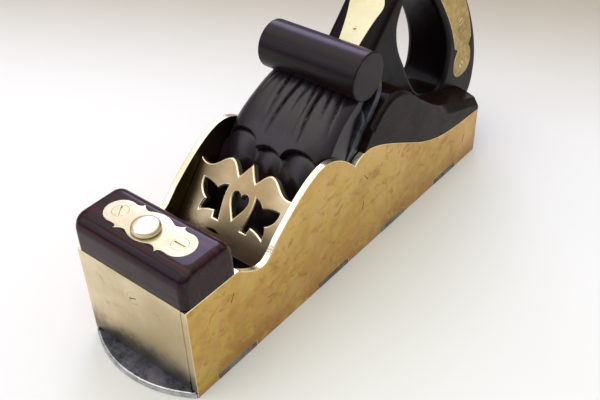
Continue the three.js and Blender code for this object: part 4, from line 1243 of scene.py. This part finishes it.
# ---- stage ----
def floor():
    """A large pale floor that turns warmer and duller far behind the plane."""
    recipe = Recipe("floor_paper")
    node, _ = recipe.add("ShaderNodeSeparateXYZ", "X", Vector=recipe.place)
    leftwards = recipe.math("MULTIPLY", node.outputs["X"], -0.45)
    backwards = recipe.math("MULTIPLY", node.outputs["Y"], 0.89)
    far = recipe.math("ADD", leftwards, backwards)
    colour = recipe.mix(recipe.between(far, 0.05, 0.34), rgb(228, 229, 226), rgb(160, 152, 131))
    recipe.set(Base_Color=colour, Roughness=0.85, Specular_IOR_Level=0.15)
    mesh = bpy.data.meshes.new("floor")
    reach = 6
    corners = [(-reach, -reach, 0), (reach, -reach, 0), (reach, reach, 0), (-reach, reach, 0)]
    mesh.from_pydata(corners, [], [(0, 1, 2, 3)])
    mesh.materials.append(recipe.material)
    obj = bpy.data.objects.new("floor", mesh)
    bpy.context.collection.objects.link(obj)


def softbox(name, direction, distance, size, power, colour):
    """A square soft light that faces the middle of the plane."""
    data = bpy.data.lights.new(name, "AREA")
    data.shape = "SQUARE"
    data.size = size
    data.energy = power
    data.color = colour
    lamp = bpy.data.objects.new(name, data)
    towards = Vector(direction).normalized()
    lamp.location = towards * distance
    lamp.rotation_euler = towards.to_track_quat("Z", "Y").to_euler()
    bpy.context.collection.objects.link(lamp)


def lights():
    """A sky that is brighter overhead than at the horizon, and three soft boxes."""
    world = bpy.data.worlds.new("studio")
    world.use_nodes = True
    background = world.node_tree.nodes["Background"]
    background.inputs["Strength"].default_value = 1.0
    tree = world.node_tree
    direction = tree.nodes.new("ShaderNodeTexCoord").outputs["Generated"]
    height = tree.nodes.new("ShaderNodeSeparateXYZ")
    tree.links.new(direction, height.inputs["Vector"])
    ramp = tree.nodes.new("ShaderNodeValToRGB")
    tree.links.new(height.outputs["Z"], ramp.inputs["Fac"])
    low, high = ramp.color_ramp.elements
    low.position, low.color = 0.3, (0.24, 0.24, 0.245, 1)
    high.position, high.color = 0.9, (1.4, 1.4, 1.36, 1)
    tree.links.new(ramp.outputs["Color"], background.inputs["Color"])
    bpy.context.scene.world = world
    softbox("window", (-0.505, 0.6, 0.62), 1.7, 0.7, 10, (0.7, 0.61, 1.0))
    softbox("front_window", (-0.505, -0.716, 0.484), 1.7, 0.9, 3.2, (0.8, 0.8, 1.0))
    softbox("overhead", (-0.2, -0.1, 1.0), 1.6, 1.8, 6.5, (1.0, 0.97, 0.88))


CAMERA_PLACE = (217.2, -149.3, 289.3)
CAMERA_ANGLES = (40.11, 38.38, -2.01)  # azimuth from the front, elevation and roll, in degrees
SENSOR_WIDTH = 36
FOCAL_LENGTH = 51.88


def camera():
    """A close view from the right front, looking down."""
    azimuth, elevation, roll_angle = (math.radians(angle) for angle in CAMERA_ANGLES)
    cos_el = math.cos(elevation)
    back = Vector((math.sin(azimuth) * cos_el, -math.cos(azimuth) * cos_el, math.sin(elevation)))
    right = Vector((0, 0, 1)).cross(back).normalized()
    up = back.cross(right)
    cos_roll, sin_roll = math.cos(roll_angle), math.sin(roll_angle)
    turned_right = cos_roll * right + sin_roll * up
    turned_up = cos_roll * up - sin_roll * right
    data = bpy.data.cameras.new("view")
    data.sensor_width = SENSOR_WIDTH
    data.lens = FOCAL_LENGTH
    data.clip_start = 0.01
    obj = bpy.data.objects.new("view", data)
    obj.matrix_world = basis(turned_right, turned_up, back, WORLD @ Vector(CAMERA_PLACE))
    bpy.context.collection.objects.link(obj)
    bpy.context.scene.camera = obj


sides()
front_plate()
soles()
front_infill()
front_fittings()
bridge()
plane_iron()
cap_iron()
cap_iron_screw()
wedge()
roll()
rear_infill()
tote()
floor()
lights()
camera()
bpy.context.scene.view_settings.view_transform = "Standard"
